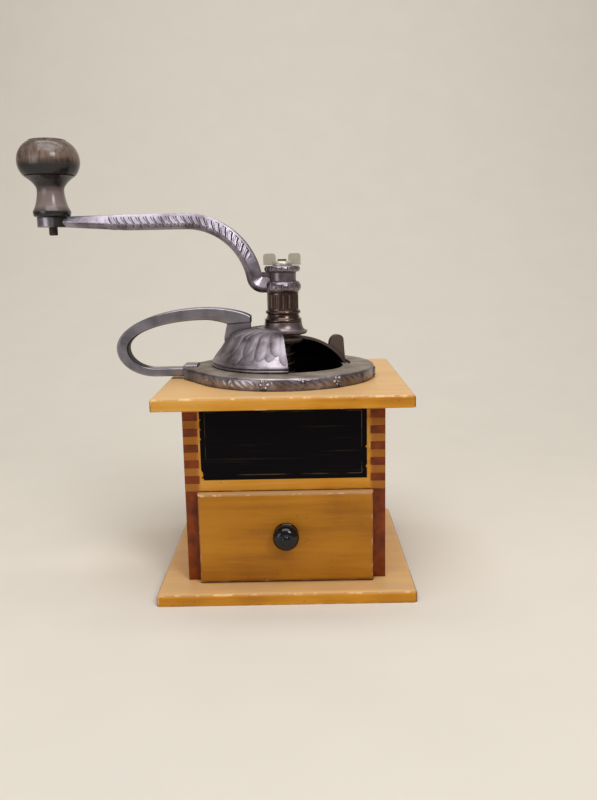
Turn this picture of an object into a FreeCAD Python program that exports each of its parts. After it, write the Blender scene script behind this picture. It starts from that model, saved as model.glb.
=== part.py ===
"""Hand crank box mill for coffee: a finger jointed wooden case with a drawer under a cast iron hopper.

Millimetres. +Z is up and the origin is the centre of the base's underside. The drawer faces -Y, and the crank
and the loop handle point to -X. The hood's opening faces the front right.
"""
import FreeCAD, Part
import math
import os

# Wooden case
base_thick = 7.6
base_overhang_side = 18.0
base_overhang_front = 24.0
case_width = 129.0
case_depth = 117.0
case_height = 117.6
case_wall = 9.5
front_panel_height = 57.2
front_fingers = 11
back_fingers = 23
top_thick = 7.9
top_overhang_side = 16.3
top_overhang_front = 22.3
board_round = 2.4
round_limit = 0.33
base_screw_r = 1.9
base_screw_head_r = 4.2
base_screw_bite = 18.0
base_screw_inset = 22.0

# Drawer
drawer_front_thick = 6.4
drawer_lip = 1.4
drawer_front_round = 2.4
drawer_wall = 6.5
drawer_floor_thick = 3.2
drawer_groove = 2.2
drawer_floor_lift = 4.0
drawer_play = 0.4
drawer_tail_room = 4.0
drawer_headroom = 5.0
pull_rise = 2.3
pull_r = 8.3
pull_neck_r = 6.3
pull_foot_r = 8.1
pull_length = 12.6
pull_neck_length = 2.4
pull_head_back = 4.4
pull_button_r = 3.2
pull_button_rise = 1.6
pull_head_bulge = 2.0
pull_screw_r = 2.0
pull_screw_bite = 8.0
pull_screw_head_r = 4.0
pull_screw_head = 2.2

# Hopper casting
mouth_r = 46.0
hood_wall = 3.0
flange_width = 13.5
rim_height = 8.4
rim_round = 2.0
collar_height = 9.1
seat_depth = 1.6
seat_width = 4.0
hood_height = 38.0
hood_shoulder_r = 36.8
hood_shoulder = 28.9
hood_from = 72.0
hood_to = 276.0
hood_mouth_in = 5.7
hood_slant = 10.5
hood_bead = 2.2
hood_bead_bulge = 0.9
crown_r = 16.6
crown_thick = 8.0
crown_lip = 2.0
crown_rise = 3.6
casting_screw_r = 2.0
casting_screw_head_r = 3.8
casting_screw_head = 2.4
casting_screw_bite = 4.0
casting_screws = 4
casting_screw_at = 45.0

# Bearing column
column_r = 10.8
column_height = 20.1
column_foot_r = 12.8
column_foot = 5.6
column_bead = 1.3
spigot_r = 8.5
flutes = 16
flute_r = 1.3
flute_depth = 0.87

# Swinging cover
cover_thick = 2.0
cover_bulge = 4.2
cover_hub_r = 14.0
cover_headroom = 2.4
cover_from = 9.0
cover_span = 164.0
rim_play = 1.2
tab_at = 17.0
tab_reach = 11.5
tab_thick = 3.2
tab_rise = 18.0
tab_lean = 1.1
tab_ease = 3.8

# Hopper bowl and burrs
bowl_wall = 3.0
bowl_lip = 5.0
bowl_lip_thick = 2.0
bowl_depth = 33.0
bowl_foot_thick = 5.0
cone_top_r = 14.4
cone_bottom_r = 22.0
cone_height = 22.0
cone_proud = 3.0
cone_teeth = 12
ring_height = 22.0
ring_wall = 8.0
ring_ear = 7.5
ring_flange_thick = 4.0
ring_teeth = 18
grind_gap = 1.0
throat_step = 2.0
tooth_depth = 2.0
tooth_width = 4.0
tooth_lean = 5.0
ring_screw_r = 2.0
ring_screw_head_r = 3.5
ring_screw_head = 2.5
ring_screws = 3
ring_screw_at = 90.0
bridge_width = 11.0
bridge_thick = 5.0
bridge_height = 7.0
bridge_boss_r = 9.0
bridge_screw_r = 1.75
bridge_screw_head_r = 3.2
bridge_screw_head = 2.2
bridge_screw_bite = 8.0

# Shaft
shaft_r = 5.0
shaft_thread_r = 3.0
hub_square = 6.4
cone_square = 9.0
cone_thread_r = 4.0
journal_r = 3.7
cone_nut_flats = 13.0
cone_nut_height = 4.0
grind_drop = 1.25
grind_lift = 0.75
washer_r = 12.5
washer_thick = 1.2
spring_wire_r = 0.8
spring_r = 6.9
spring_turns = 8

# Crank
crank_radius = 154.3
arm_rise = 48.6
arm_height = 10.4
arm_width = 13.0
arm_root = 13.0
arm_belly = 2.5
arm_lip = 1.0
arm_face_lean = 3.0
arm_taper = 50.0
arm_sweep = 80.0
arm_crook = 0.8
pad_r = 10.2
pad_thick = 6.7
pad_step = 0.8
hub_ring_r = 12.6
hub_ring_height = 7.4
hub_neck_r = 9.4
hub_neck_height = 6.4
hub_cap_r = 12.2
hub_cap_height = 4.0
hub_beads = 18
bead_groove_r = 0.8
bead_groove_depth = 0.6
bead_bulge = 0.25
wing_span = 25.4
wing_width = 8.4
wing_height = 8.4
wing_thick = 2.6
wing_corner = 2.2
wing_lift = 0.6
wing_nut_r = 6.6
wing_nut_height = 3.4

# Knob
knob_height = 50.4
knob_r = 20.5
knob_foot_r = 12.5
knob_neck_r = 8.9
knob_waist_r = 16.5
knob_button_r = 12.4
knob_foot_level = 3.5
knob_neck_level = 17.4
knob_waist_level = 26.2
knob_belly_level = 36.4
knob_shoulder_level = 48.8
knob_groove = 0.6
pin_r = 2.85
pin_point = 0.5
pin_tail = 5.4
pin_head_r = 5.0
pin_head = 2.4
pin_recess = 4.0

# Loop handle
handle_reach = 115.4
handle_crest = 53.7
handle_turn_length = 26.6
handle_rise = 2.5
handle_middle = 21.5
handle_low = 1.9
handle_strap = 8.4
handle_side = 8.0
handle_tongue = 5.8
handle_width = 10.5
handle_round = 1.2
handle_end = 22.0
handle_end_thick = 4.2
handle_foot_reach = 16.0
handle_foot_drop = 3.2
handle_foot_thick = 4.2
handle_web_reach = 40.8
handle_web_low = 23.0
handle_web_bend = 28.5
handle_screw_r = 1.8
handle_screw_head_r = 3.4
handle_screw_head = 2.0
ear_length = 7.0
ear_wall = 2.2
ear_depth = 5.0

# Clearances
running_gap = 0.05
swing_gap = 0.3
socket_gap = 0.1
over = 1.0

# Levels worked up from the floor
case_floor = base_thick
case_top = case_floor + case_height
sill = case_top - front_panel_height
deck = case_top + top_thick
front = -case_depth / 2
back = case_depth / 2
bay_half = case_width / 2 - case_wall
collar_top = deck + collar_height
hood_top = deck + hood_height
crown_bottom = hood_top - crown_thick
column_top = hood_top + column_height

# Radii of the casting
hood_r = mouth_r + hood_wall
flange_r = hood_r + flange_width
cover_r = mouth_r - rim_play
seat_r = cover_r - seat_width
seat_level = collar_top - seat_depth
cover_foot = seat_level + swing_gap
cover_top = crown_bottom - cover_headroom
spigot_bottom = cover_top - cover_thick - swing_gap
washer_bottom = spigot_bottom - washer_thick

# The handle's foot and web stay inside the strap's rounded edges
stand_width = handle_width - 2 * handle_round - 2 * socket_gap

# Burrs, worked down from the deck
bowl_r = mouth_r + over
bowl_lip_r = bowl_r + bowl_lip
ring_top = deck - bowl_depth
ring_bottom = ring_top - ring_height
cone_top = ring_top + cone_proud
cone_bottom = cone_top - cone_height
cone_slope = (cone_bottom_r - cone_top_r) / cone_height
bore_top_r = cone_bottom_r - (ring_top - cone_bottom) * cone_slope + grind_gap
bore_bottom_r = cone_bottom_r + (cone_bottom - ring_bottom) * cone_slope + grind_gap
throat_r = bore_top_r + throat_step
ring_r = bore_bottom_r + ring_wall
ring_flange_r = ring_r + ring_ear
cone_nut_bottom = cone_bottom - cone_nut_height
bridge_top = cone_nut_bottom - grind_drop - swing_gap
bridge_bottom = bridge_top - bridge_height
burrs_bottom = bridge_bottom - bridge_screw_head
shaft_bottom = bridge_bottom + grind_drop + swing_gap

# Drawer
drawer_face = front - swing_gap
drawer_low = case_floor + swing_gap
drawer_half = bay_half - drawer_play
drawer_inner = drawer_half - drawer_wall
drawer_top = min(sill, burrs_bottom) - drawer_headroom
drawer_back = back - case_wall - drawer_tail_room
drawer_floor = drawer_low + drawer_floor_lift
drawer_front_top = sill - swing_gap
pull_level = (drawer_low + drawer_front_top) / 2 + pull_rise

# Crank
hub_bottom = column_top + swing_gap
hub_neck = hub_bottom + hub_ring_height
hub_cap = hub_neck + hub_neck_height
hub_top = hub_cap + hub_cap_height
shaft_square_top = hub_top - grind_lift - swing_gap
shaft_neck = column_top - grind_lift - swing_gap
arm_level = hub_bottom + arm_rise
sweep = math.radians(arm_sweep)
crook_r = arm_height / 2 + arm_crook
bend_r = (arm_rise - arm_height / 2) / (1 - math.cos(sweep)) - crook_r
bend_x = -(arm_root + (bend_r + crook_r) * math.sin(sweep))
bend_z = arm_level - bend_r
crook_z = hub_bottom + arm_height / 2 + crook_r
pad_top = arm_level + arm_height / 2 - pad_step
pad_bottom = pad_top - pad_thick
knob_bottom = pad_top + swing_gap
knob_top = knob_bottom + knob_height
nut_seat = hub_top + running_gap
nut_top = nut_seat + wing_nut_height
shaft_top = nut_top + over

ORIGIN = FreeCAD.Vector(0, 0, 0)
UP = FreeCAD.Vector(0, 0, 1)
ACROSS = FreeCAD.Vector(0, 1, 0)
SIDEWAYS = FreeCAD.Vector(1, 0, 0)


def flat(point):
    """A point of the upright XZ plane, given as its distance from the shaft's axis and its height."""
    return FreeCAD.Vector(point[0], 0, point[1])


def outline(start, *steps):
    """A closed face in the XZ plane. A step is a point, ("arc", through, end) or ("round", corner, end)."""
    edges = []
    here = flat(start)
    for step in steps + (start,):
        if step[0] == "arc":
            there = flat(step[2])
            edges.append(Part.Arc(here, flat(step[1]), there).toShape())
        elif step[0] == "round":
            there = flat(step[2])
            curve = Part.BezierCurve()
            curve.setPoles([here, flat(step[1]), there])
            curve.setWeight(2, math.sqrt(0.5))
            edges.append(curve.toShape())
        else:
            there = flat(step)
            if there.distanceToPoint(here) > running_gap / 2:
                edges.append(Part.makeLine(here, there))
        here = there
    return Part.Face(Part.Wire(edges))


def turned(face, span=360.0, start=0.0):
    """The face revolved about the shaft's axis."""
    solid = face.revolve(ORIGIN, UP, span)
    solid.rotate(ORIGIN, UP, start)
    return solid


def slab(face, width):
    """The face given a width, centred on the XZ plane."""
    solid = face.extrude(ACROSS * width)
    solid.translate(ACROSS * (-width / 2))
    return solid


def block(x0, x1, y0, y1, z0, z1):
    return Part.makeBox(x1 - x0, y1 - y0, z1 - z0, FreeCAD.Vector(x0, y0, z0))


def rod(radius, z0, z1, x=0.0, y=0.0):
    return Part.makeCylinder(radius, z1 - z0, FreeCAD.Vector(x, y, z0))


def square_bar(side, z0, z1):
    return block(-side / 2, side / 2, -side / 2, side / 2, z0, z1)


def spaced(shape, count, first=0.0):
    """Copies of the shape spread evenly round the shaft's axis."""
    copies = []
    for index in range(count):
        copy = shape.copy()
        copy.rotate(ORIGIN, UP, first + 360.0 * index / count)
        copies.append(copy)
    return copies


def join(first, *others):
    return first.fuse(list(others)).removeSplitter()


def bowed(start, end, bulge):
    """The circle centre, radius and middle point of an arc that stands off its chord by the bulge."""
    half = math.hypot(end[0] - start[0], end[1] - start[1]) / 2
    away = ((end[1] - start[1]) / (2 * half), (start[0] - end[0]) / (2 * half))
    middle = [(a + b) / 2 for a, b in zip(start, end)]
    radius = (half ** 2 + bulge ** 2) / (2 * bulge)
    top = (middle[0] + away[0] * bulge, middle[1] + away[1] * bulge)
    centre = (top[0] - away[0] * radius, top[1] - away[1] * radius)
    return centre, radius, top


def shell_under(start, end, bulge, thick):
    """The inner arc of a domed wall: its foot, its middle and the point where it meets the hub."""
    centre, radius, top = bowed(start, end, bulge)
    inner = radius - thick
    foot = (centre[0] + math.sqrt(inner ** 2 - (start[1] - centre[1]) ** 2), start[1])
    head = (end[0], centre[1] + math.sqrt(inner ** 2 - (end[0] - centre[0]) ** 2))
    middle = tuple(c + (t - c) * inner / radius for c, t in zip(centre, top))
    return foot, middle, head


def eased(solid, radius, level):
    """Rounds a board's upper edges and upright corners."""
    edges = [edge for edge in solid.Edges if edge.BoundBox.ZMax > level]
    return solid.makeFillet(radius, edges)


# Wooden case
def finger_gaps(x0, x1, y0, y1, z0, z1, count, first):
    """Every second finger of a corner joint, counted from the bottom."""
    pitch = (z1 - z0) / count
    return [block(x0, x1, y0, y1, z0 + pitch * i, z0 + pitch * (i + 1)) for i in range(first, count, 2)]


def base_screw_places():
    x = case_width / 2 - case_wall / 2
    y = case_depth / 2 - base_screw_inset
    return [(sx * x, sy * y) for sx in (-1, 1) for sy in (-1, 1)]


def base_screw(x, y):
    """A countersunk wood screw that comes up through the base into a side panel's lower edge."""
    sink = base_screw_head_r - base_screw_r
    profile = outline((0, 0), (base_screw_head_r, 0), (base_screw_r, sink),
                      (base_screw_r, base_thick + base_screw_bite),
                      (0, base_thick + base_screw_bite + base_screw_r))
    screw = turned(profile)
    screw.translate(FreeCAD.Vector(x, y, 0))
    return screw


def make_base_board():
    x = case_width / 2 + base_overhang_side
    y = case_depth / 2 + base_overhang_front
    board = block(-x, x, -y, y, 0, base_thick)
    board = eased(board, min(board_round, base_thick * round_limit), base_thick / 2)
    return board.cut([base_screw(x, y) for x, y in base_screw_places()])


def make_base_screws():
    return Part.makeCompound([base_screw(x, y) for x, y in base_screw_places()])


def make_side_panel(side):
    """A full side of the case: long fingers at the back, short fingers at the front above the drawer."""
    panel = block(bay_half, case_width / 2, front, back, case_floor, case_top)
    gaps = finger_gaps(bay_half, case_width / 2, front, front + case_wall, sill, case_top, front_fingers, 0)
    gaps += finger_gaps(bay_half, case_width / 2, back - case_wall, back, case_floor, case_top,
                        back_fingers, 0)
    panel = panel.cut(gaps)
    if side < 0:
        panel = panel.mirror(ORIGIN, SIDEWAYS)
    return panel.cut([base_screw(x, y) for x, y in base_screw_places() if x * side > 0])


def cross_panel(y0, y1, z0, count):
    """A panel across the case with fingers at both ends."""
    panel = block(-case_width / 2, case_width / 2, y0, y1, z0, case_top)
    gaps = finger_gaps(bay_half, case_width / 2, y0, y1, z0, case_top, count, 1)
    gaps += finger_gaps(-case_width / 2, -bay_half, y0, y1, z0, case_top, count, 1)
    return panel.cut(gaps)


def casting_screw():
    """A screw that holds the casting from inside the case, through the top board into the flange."""
    reach = (bowl_lip_r + flange_r) / 2
    head = rod(casting_screw_head_r, case_top - casting_screw_head, case_top, reach)
    return head.fuse(rod(casting_screw_r, case_top, deck + casting_screw_bite, reach))


def make_top_board():
    x = case_width / 2 + top_overhang_side
    y = case_depth / 2 + top_overhang_front
    board = block(-x, x, -y, y, case_top, deck)
    board = eased(board, min(board_round, top_thick * round_limit), case_top + top_thick / 2)
    hole = rod(bowl_r + swing_gap, case_top, deck)
    lip = rod(bowl_lip_r, deck - bowl_lip_thick, deck)
    return board.cut([hole, lip] + spaced(casting_screw(), casting_screws, casting_screw_at))


# Drawer
def pull_screw():
    head = Part.makeCylinder(pull_screw_head_r, pull_screw_head, ORIGIN, UP)
    head.translate(UP * (-drawer_front_thick - pull_screw_head))
    shank = rod(pull_screw_r, -drawer_front_thick, pull_screw_bite)
    return facing_front(head.fuse(shank))


def facing_front(solid):
    """Turns a piece made along the upright axis so that it stands out of the drawer's front."""
    solid.rotate(ORIGIN, SIDEWAYS, 90.0)
    solid.translate(FreeCAD.Vector(0, drawer_face - drawer_front_thick, pull_level))
    return solid


def make_drawer_front():
    half = bay_half + drawer_lip
    y0 = drawer_face - drawer_front_thick
    board = block(-half, half, y0, drawer_face, drawer_low, drawer_front_top)
    edges = [edge for edge in board.Edges if edge.BoundBox.YMax < drawer_face - drawer_front_thick / 2]
    board = board.makeFillet(min(drawer_front_round, drawer_front_thick / 2), edges)
    return board.cut(pull_screw())


def make_drawer_side(side):
    panel = block(drawer_inner, drawer_half, drawer_face, drawer_back, drawer_low, drawer_top)
    groove = block(drawer_inner, drawer_inner + drawer_groove,
                   drawer_face, drawer_back - drawer_wall + drawer_groove,
                   drawer_floor, drawer_floor + drawer_floor_thick)
    panel = panel.cut(groove)
    return panel if side > 0 else panel.mirror(ORIGIN, SIDEWAYS)


def make_drawer_floor():
    half = drawer_inner + drawer_groove
    return block(-half, half, drawer_face, drawer_back - drawer_wall + drawer_groove,
                 drawer_floor, drawer_floor + drawer_floor_thick)


def make_drawer_back():
    panel = block(-drawer_inner, drawer_inner, drawer_back - drawer_wall, drawer_back, drawer_low, drawer_top)
    return panel.cut(make_drawer_floor())


def make_drawer_pull():
    """The turned knob: a flared foot, a short neck and a round head with a stepped button."""
    shoulder = pull_length - pull_button_rise
    bulge = bowed((pull_button_r, shoulder), (pull_r, pull_head_back), -pull_head_bulge)[2]
    profile = outline((0, 0), (pull_foot_r, 0), ("round", (pull_neck_r, 0), (pull_neck_r, pull_neck_length)),
                      ("round", (pull_neck_r, pull_head_back), (pull_r, pull_head_back)),
                      ("arc", bulge, (pull_button_r, shoulder)),
                      ("round", (pull_button_r, pull_length), (0, pull_length)))
    return facing_front(turned(profile)).cut(pull_screw())


# Hopper casting
def make_flange():
    """The round foot of the casting: a tapered rim, a sloping collar and a seat for the swinging cover."""
    rim_top = deck + rim_height
    return turned(outline((seat_r, deck), (flange_r, deck), (flange_r, rim_top - rim_round),
                          ("round", (flange_r, rim_top), (flange_r - rim_round, rim_top)),
                          (mouth_r + over, collar_top), (mouth_r, collar_top), (mouth_r, seat_level),
                          (seat_r, seat_level)))


def hood_line(wall):
    """The hood's side from its beads to its shoulder and in under the crown, a wall inside its outer face."""
    rise = deck + hood_shoulder - collar_top - 2 * hood_bead
    lean = (hood_r - hood_shoulder_r) / rise
    inset = wall * math.hypot(1, lean)
    top = hood_top - crown_rise - wall
    shoulder = deck + hood_shoulder - wall * lean
    foot = collar_top + 2 * hood_bead
    side = [(hood_r - inset - (level - foot) * lean, level) for level in (foot, shoulder, top)]
    return side + [(column_foot_r, top)]


def hood_profile():
    foot, shoulder, corner, end = hood_line(0)
    inner_foot, inner_shoulder, inner_corner, inner_end = hood_line(hood_wall)
    first = (hood_r, collar_top + hood_bead)
    lower = (hood_r + hood_bead_bulge, collar_top + hood_bead / 2)
    upper = (hood_r + hood_bead_bulge, collar_top + hood_bead + hood_bead / 2)
    return outline((mouth_r, collar_top - over), (hood_r, collar_top - over), (hood_r, collar_top),
                   ("arc", lower, first), ("arc", upper, foot), shoulder, ("round", corner, end), inner_end,
                   ("round", inner_corner, inner_shoulder), inner_foot, (mouth_r, collar_top))


def hood_body():
    """The space under the hood's outer surface, all the way round."""
    foot, shoulder, corner, end = hood_line(0)
    return turned(outline((0, collar_top), (hood_r, collar_top), foot, shoulder, ("round", corner, end),
                          (0, end[1])))


def make_crown():
    """The bell at the hood's top that carries the bearing column."""
    brim = crown_bottom + crown_lip
    return turned(outline((spigot_r, crown_bottom), (crown_r - crown_lip / 2, crown_bottom),
                          ("round", (crown_r, crown_bottom), (crown_r, brim)),
                          ("round", (column_foot_r, brim), (column_foot_r, hood_top)), (spigot_r, hood_top)))


def tongue_socket(gap):
    """The handle's lower end, or with a gap the socket that takes it."""
    half = handle_width / 2 + gap
    low = deck + handle_low
    return block(-(flange_r + ear_length), -(flange_r + ear_length - ear_depth) + gap, -half, half,
                 low - gap, low + handle_tongue + gap)


def make_ear():
    """The lug that runs out of the rim in two straight flanks and holds the handle's lower end."""
    half = handle_width / 2 + ear_wall
    tip = flange_r + ear_length
    turn = math.atan2(half, tip) + math.acos(flange_r / math.hypot(half, tip))
    touch = FreeCAD.Vector(-flange_r * math.cos(turn), -flange_r * math.sin(turn), deck)
    corner = FreeCAD.Vector(-tip, -half, deck)
    plan = [touch, corner, corner + ACROSS * 2 * half, touch - ACROSS * 2 * touch.y]
    flanks = Part.Face(Part.makePolygon(plan + plan[:1])).extrude(UP * rim_height)
    lug_top = deck + handle_low + handle_tongue + ear_wall
    lug = block(-tip, -(flange_r - rim_round - over), -half, half, deck, lug_top)
    lug = eased(lug, ear_wall / 2, deck + handle_low)
    return eased(flanks, rim_round, deck + over).fuse(lug).cut(tongue_socket(socket_gap))


def handle_screw():
    """The screw that comes from inside the hood's shoulder into the handle's foot, square to the shoulder."""
    _, shoulder, corner, end = hood_line(0)
    face = (flat(shoulder) + flat(corner) * math.sqrt(2) + flat(end)) * (1 / (2 + math.sqrt(2)))
    chord = flat(shoulder) - flat(end)
    normal = FreeCAD.Vector(chord.z, 0, chord.x).normalize()
    face.x = -face.x
    seat = face - normal * (hood_wall + swing_gap)
    head = Part.makeCylinder(handle_screw_head_r, handle_screw_head,
                             seat - normal * handle_screw_head, normal)
    shank = Part.makeCylinder(handle_screw_r, hood_wall + swing_gap + handle_foot_thick, seat, normal)
    return head.fuse(shank)


def make_hopper_casting():
    """Flange, hood, crown and ear in one casting. The hood's front edge slants away from the column."""
    mouth = block(0, flange_r, -flange_r, 0, deck, hood_top)
    mouth.rotate(ORIGIN, UP, hood_slant)
    mouth.translate(-SIDEWAYS * hood_mouth_in)
    hood = turned(hood_profile(), hood_to - hood_from, hood_from).cut(mouth)
    casting = join(make_flange(), hood, make_crown(), make_ear())
    return casting.cut([handle_screw()] + spaced(casting_screw(), casting_screws, casting_screw_at))


def make_column():
    """The turned and fluted bearing column. Its spigot goes down through the crown and carries the cover."""
    foot_top = hood_top + column_foot
    bead = column_foot_r - column_bead / 2
    waist = (column_foot_r + column_r) / 2
    collar = foot_top + 2 * column_bead
    groove = hood_top + 2 * column_bead
    body = turned(outline((shaft_r + running_gap, spigot_bottom), (spigot_r, spigot_bottom),
                          (spigot_r, hood_top), (bead, hood_top),
                          ("arc", (column_foot_r, hood_top + column_bead), (bead, groove)),
                          ("round", (waist - column_bead / 2, groove), (column_r, foot_top)),
                          ("arc", (column_r + column_bead, foot_top + column_bead), (column_r, collar)),
                          (column_r, column_top), (shaft_r + running_gap, column_top)))
    flute = rod(flute_r, collar + column_bead, column_top - column_bead, column_r + flute_r - flute_depth)
    return body.cut(spaced(flute, flutes))


def make_handle():
    """The loop handle: a strap that swells at the top, a foot on the hood and a tongue in the rim's ear."""
    under = hood_top + handle_rise
    top = under + handle_strap
    middle = deck + handle_middle
    low = deck + handle_low
    end_low = (-handle_end, hood_top + swing_gap)
    end = (-handle_end, end_low[1] + handle_end_thick)
    foot_x = -(handle_end + handle_foot_reach)
    inside = -(handle_reach - handle_side)
    turn = -(handle_reach - handle_turn_length)
    tip = -(flange_r + ear_length - ear_depth)
    strap = slab(outline(
        (tip, low), (turn, low), ("round", (-handle_reach, low), (-handle_reach, middle)),
        ("round", (-handle_reach, top), (-handle_crest, top)),
        ("round", (-handle_end - handle_strap, top), end),
        end_low, (foot_x, under - handle_foot_drop),
        ("round", (foot_x - handle_strap, under), (-handle_crest, under)),
        ("round", (inside, under), (inside, middle)),
        ("round", (inside, low + handle_tongue), (turn, low + handle_tongue)), (tip, low + handle_tongue)),
        handle_width)
    long_edges = [edge for edge in strap.Edges if edge.BoundBox.YLength < over]
    strap = strap.makeFillet(min(handle_round, handle_tongue * round_limit), long_edges).Solids[0]
    root = -(handle_end + over)
    web = slab(outline((root, end[1] - over), (root, crown_bottom),
                       (-handle_web_reach, deck + handle_web_low),
                       (-handle_web_reach, deck + handle_web_bend), (foot_x, under)), stand_width)
    solid = strap.fuse([web, make_handle_foot()])
    return solid.cut([hood_body(), make_crown(), handle_screw()]).removeSplitter()


def make_handle_foot():
    """The thick pad under the strap's end, of one thickness over the hood's shoulder."""
    _, shoulder, corner, end = hood_line(-handle_foot_thick)
    pad = turned(outline((0, crown_bottom), (shoulder[0], crown_bottom), shoulder, ("round", corner, end),
                         (0, end[1])))
    half = stand_width / 2
    return pad.common(block(-(handle_end + handle_foot_reach), -(handle_end + over / 2), -half, half,
                            crown_bottom, end[1]))


# Swinging cover
def cover_space(thick):
    """The space under a domed surface that lies a given depth inside the cover's outer face."""
    start = (cover_r, cover_foot)
    end = (cover_hub_r, cover_top)
    foot, middle, head = shell_under(start, end, cover_bulge, thick)
    return turned(outline((0, cover_foot), foot, ("arc", middle, head), (0, head[1])))


def make_cover():
    """A sector of a dome that turns on the column's spigot and slides under the hood, with a thumb tab."""
    start = (cover_r, cover_foot)
    end = (cover_hub_r, cover_top)
    foot, middle, head = shell_under(start, end, cover_bulge, cover_thick)
    crest = bowed(start, end, cover_bulge)[2]
    inner = cover_hub_r - over
    dome = turned(outline(foot, start, ("arc", crest, end), (inner, cover_top), (inner, head[1]), head,
                          ("arc", middle, foot)), cover_span, cover_from)
    hub_low = cover_top - cover_thick
    hub = turned(outline((spigot_r + swing_gap, hub_low), (cover_hub_r, hub_low), (cover_hub_r, cover_top),
                         (spigot_r + swing_gap, cover_top)))
    low = collar_top + swing_gap
    tab_in = cover_r - tab_reach
    tab_top = low + tab_rise
    tab = slab(outline((tab_in - tab_thick, low), (cover_r, low),
                       (cover_r - tab_lean, tab_top - tab_ease),
                       ("round", (cover_r - tab_lean, tab_top), (cover_r - tab_reach / 2, tab_top)),
                       ("round", (tab_in, tab_top), (tab_in, tab_top - tab_reach / 2)),
                       (tab_in - tab_thick, low)), tab_thick)
    tab = tab.cut(cover_space(cover_thick / 2))
    tab.rotate(ORIGIN, UP, tab_at)
    return join(dome, hub, tab)


# Hopper bowl and burrs
def ring_screw():
    """A screw that holds the grinding ring up against the bowl's foot."""
    reach = ring_r + ring_ear / 2
    under = ring_top - ring_flange_thick
    head = rod(ring_screw_head_r, under - ring_screw_head, under, reach)
    return head.fuse(rod(ring_screw_r, under, ring_top + bowl_foot_thick - over, reach))


def bridge_screw():
    """A screw that holds the bridge's foot up against the grinding ring."""
    reach = (bore_bottom_r + tooth_depth + ring_r) / 2
    head = rod(bridge_screw_head_r, bridge_bottom - bridge_screw_head, bridge_bottom, reach)
    return head.fuse(rod(bridge_screw_r, bridge_bottom, ring_bottom + bridge_screw_bite, reach))


def make_bowl():
    """The funnel under the mouth. Its lip is let into the top board, its foot carries the grinding ring."""
    skirt = case_top - over
    foot_top = ring_top + bowl_foot_thick
    inside = bowl_r - bowl_wall
    bowl = turned(outline((inside, deck), (bowl_lip_r, deck), (bowl_lip_r, deck - bowl_lip_thick),
                          (bowl_r, deck - bowl_lip_thick), (bowl_r, skirt), (throat_r + bowl_wall, foot_top),
                          (ring_flange_r, foot_top), (ring_flange_r, ring_top), (throat_r, ring_top),
                          (throat_r, foot_top - bowl_wall / 2), (inside, skirt)))
    return bowl.cut(spaced(ring_screw(), ring_screws, ring_screw_at))


def tooth_groove(low, high, inwards):
    """A leaning V channel along a cone's face, from one (radius, level) to another."""
    mouth = -inwards * over
    face = Part.Face(Part.makePolygon([
        FreeCAD.Vector(low[0] + inwards * tooth_depth, 0, low[1]),
        FreeCAD.Vector(low[0] + mouth, tooth_width / 2, low[1]),
        FreeCAD.Vector(low[0] + mouth, -tooth_width / 2, low[1]),
        FreeCAD.Vector(low[0] + inwards * tooth_depth, 0, low[1])]))
    return face.extrude(FreeCAD.Vector(high[0] - low[0], tooth_lean, high[1] - low[1]))


def make_grinding_ring():
    """The fixed outer burr: a conical bore with cutting channels, and a flange for its screws."""
    under = ring_top - ring_flange_thick
    ring = turned(outline((bore_bottom_r, ring_bottom), (ring_r, ring_bottom), (ring_r, under),
                          (ring_flange_r, under),
                          (ring_flange_r, ring_top), (bore_top_r, ring_top)))
    groove = tooth_groove((bore_bottom_r, ring_bottom), (bore_top_r, ring_top), 1)
    screws = spaced(ring_screw(), ring_screws, ring_screw_at) + spaced(bridge_screw(), 2)
    return ring.cut(spaced(groove, ring_teeth) + screws)


def make_grinding_cone():
    """The turning inner burr, with cutting channels that lean the other way."""
    cone = Part.makeCone(cone_bottom_r, cone_top_r, cone_height, FreeCAD.Vector(0, 0, cone_bottom))
    groove = tooth_groove((cone_bottom_r, cone_bottom), (cone_top_r, cone_top), -1)
    groove = groove.mirror(ORIGIN, ACROSS)
    return cone.cut(spaced(groove, cone_teeth) + [square_bar(cone_square, cone_bottom, cone_top)])


def make_bridge():
    """The bar under the burrs that carries the shaft's lower journal."""
    bar = block(-ring_r, ring_r, -bridge_width / 2, bridge_width / 2,
                bridge_bottom, bridge_bottom + bridge_thick)
    inner = bore_bottom_r + tooth_depth
    feet = [block(min(s * inner, s * ring_r), max(s * inner, s * ring_r), -bridge_width / 2, bridge_width / 2,
                  bridge_bottom, ring_bottom) for s in (-1, 1)]
    body = bar.fuse(feet).common(rod(ring_r, bridge_bottom, ring_bottom))
    body = join(body, rod(bridge_boss_r, bridge_bottom, bridge_top))
    return body.cut([rod(journal_r + running_gap, bridge_bottom, bridge_top)] + spaced(bridge_screw(), 2))


def make_cone_nut():
    corner = cone_nut_flats / math.sqrt(3)
    points = [FreeCAD.Vector(corner * math.cos(math.radians(60 * i)), corner * math.sin(math.radians(60 * i)),
                             cone_nut_bottom) for i in range(7)]
    nut = Part.Face(Part.makePolygon(points)).extrude(UP * cone_nut_height)
    return nut.cut(rod(cone_thread_r, cone_nut_bottom, cone_bottom))


# Shaft
def make_shaft():
    """From below: journal, thread for the cone's nut, square for the cone, bearing, square for the hub."""
    return join(rod(journal_r, shaft_bottom, cone_nut_bottom),
                rod(cone_thread_r, cone_nut_bottom, cone_bottom),
                square_bar(cone_square, cone_bottom, cone_top), rod(shaft_r, cone_top, shaft_neck),
                square_bar(hub_square, shaft_neck, shaft_square_top),
                rod(shaft_thread_r, shaft_square_top, shaft_top))


def make_spring_washer():
    hole = rod(shaft_r + swing_gap, washer_bottom, spigot_bottom)
    return rod(washer_r, washer_bottom, spigot_bottom).cut(hole)


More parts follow.
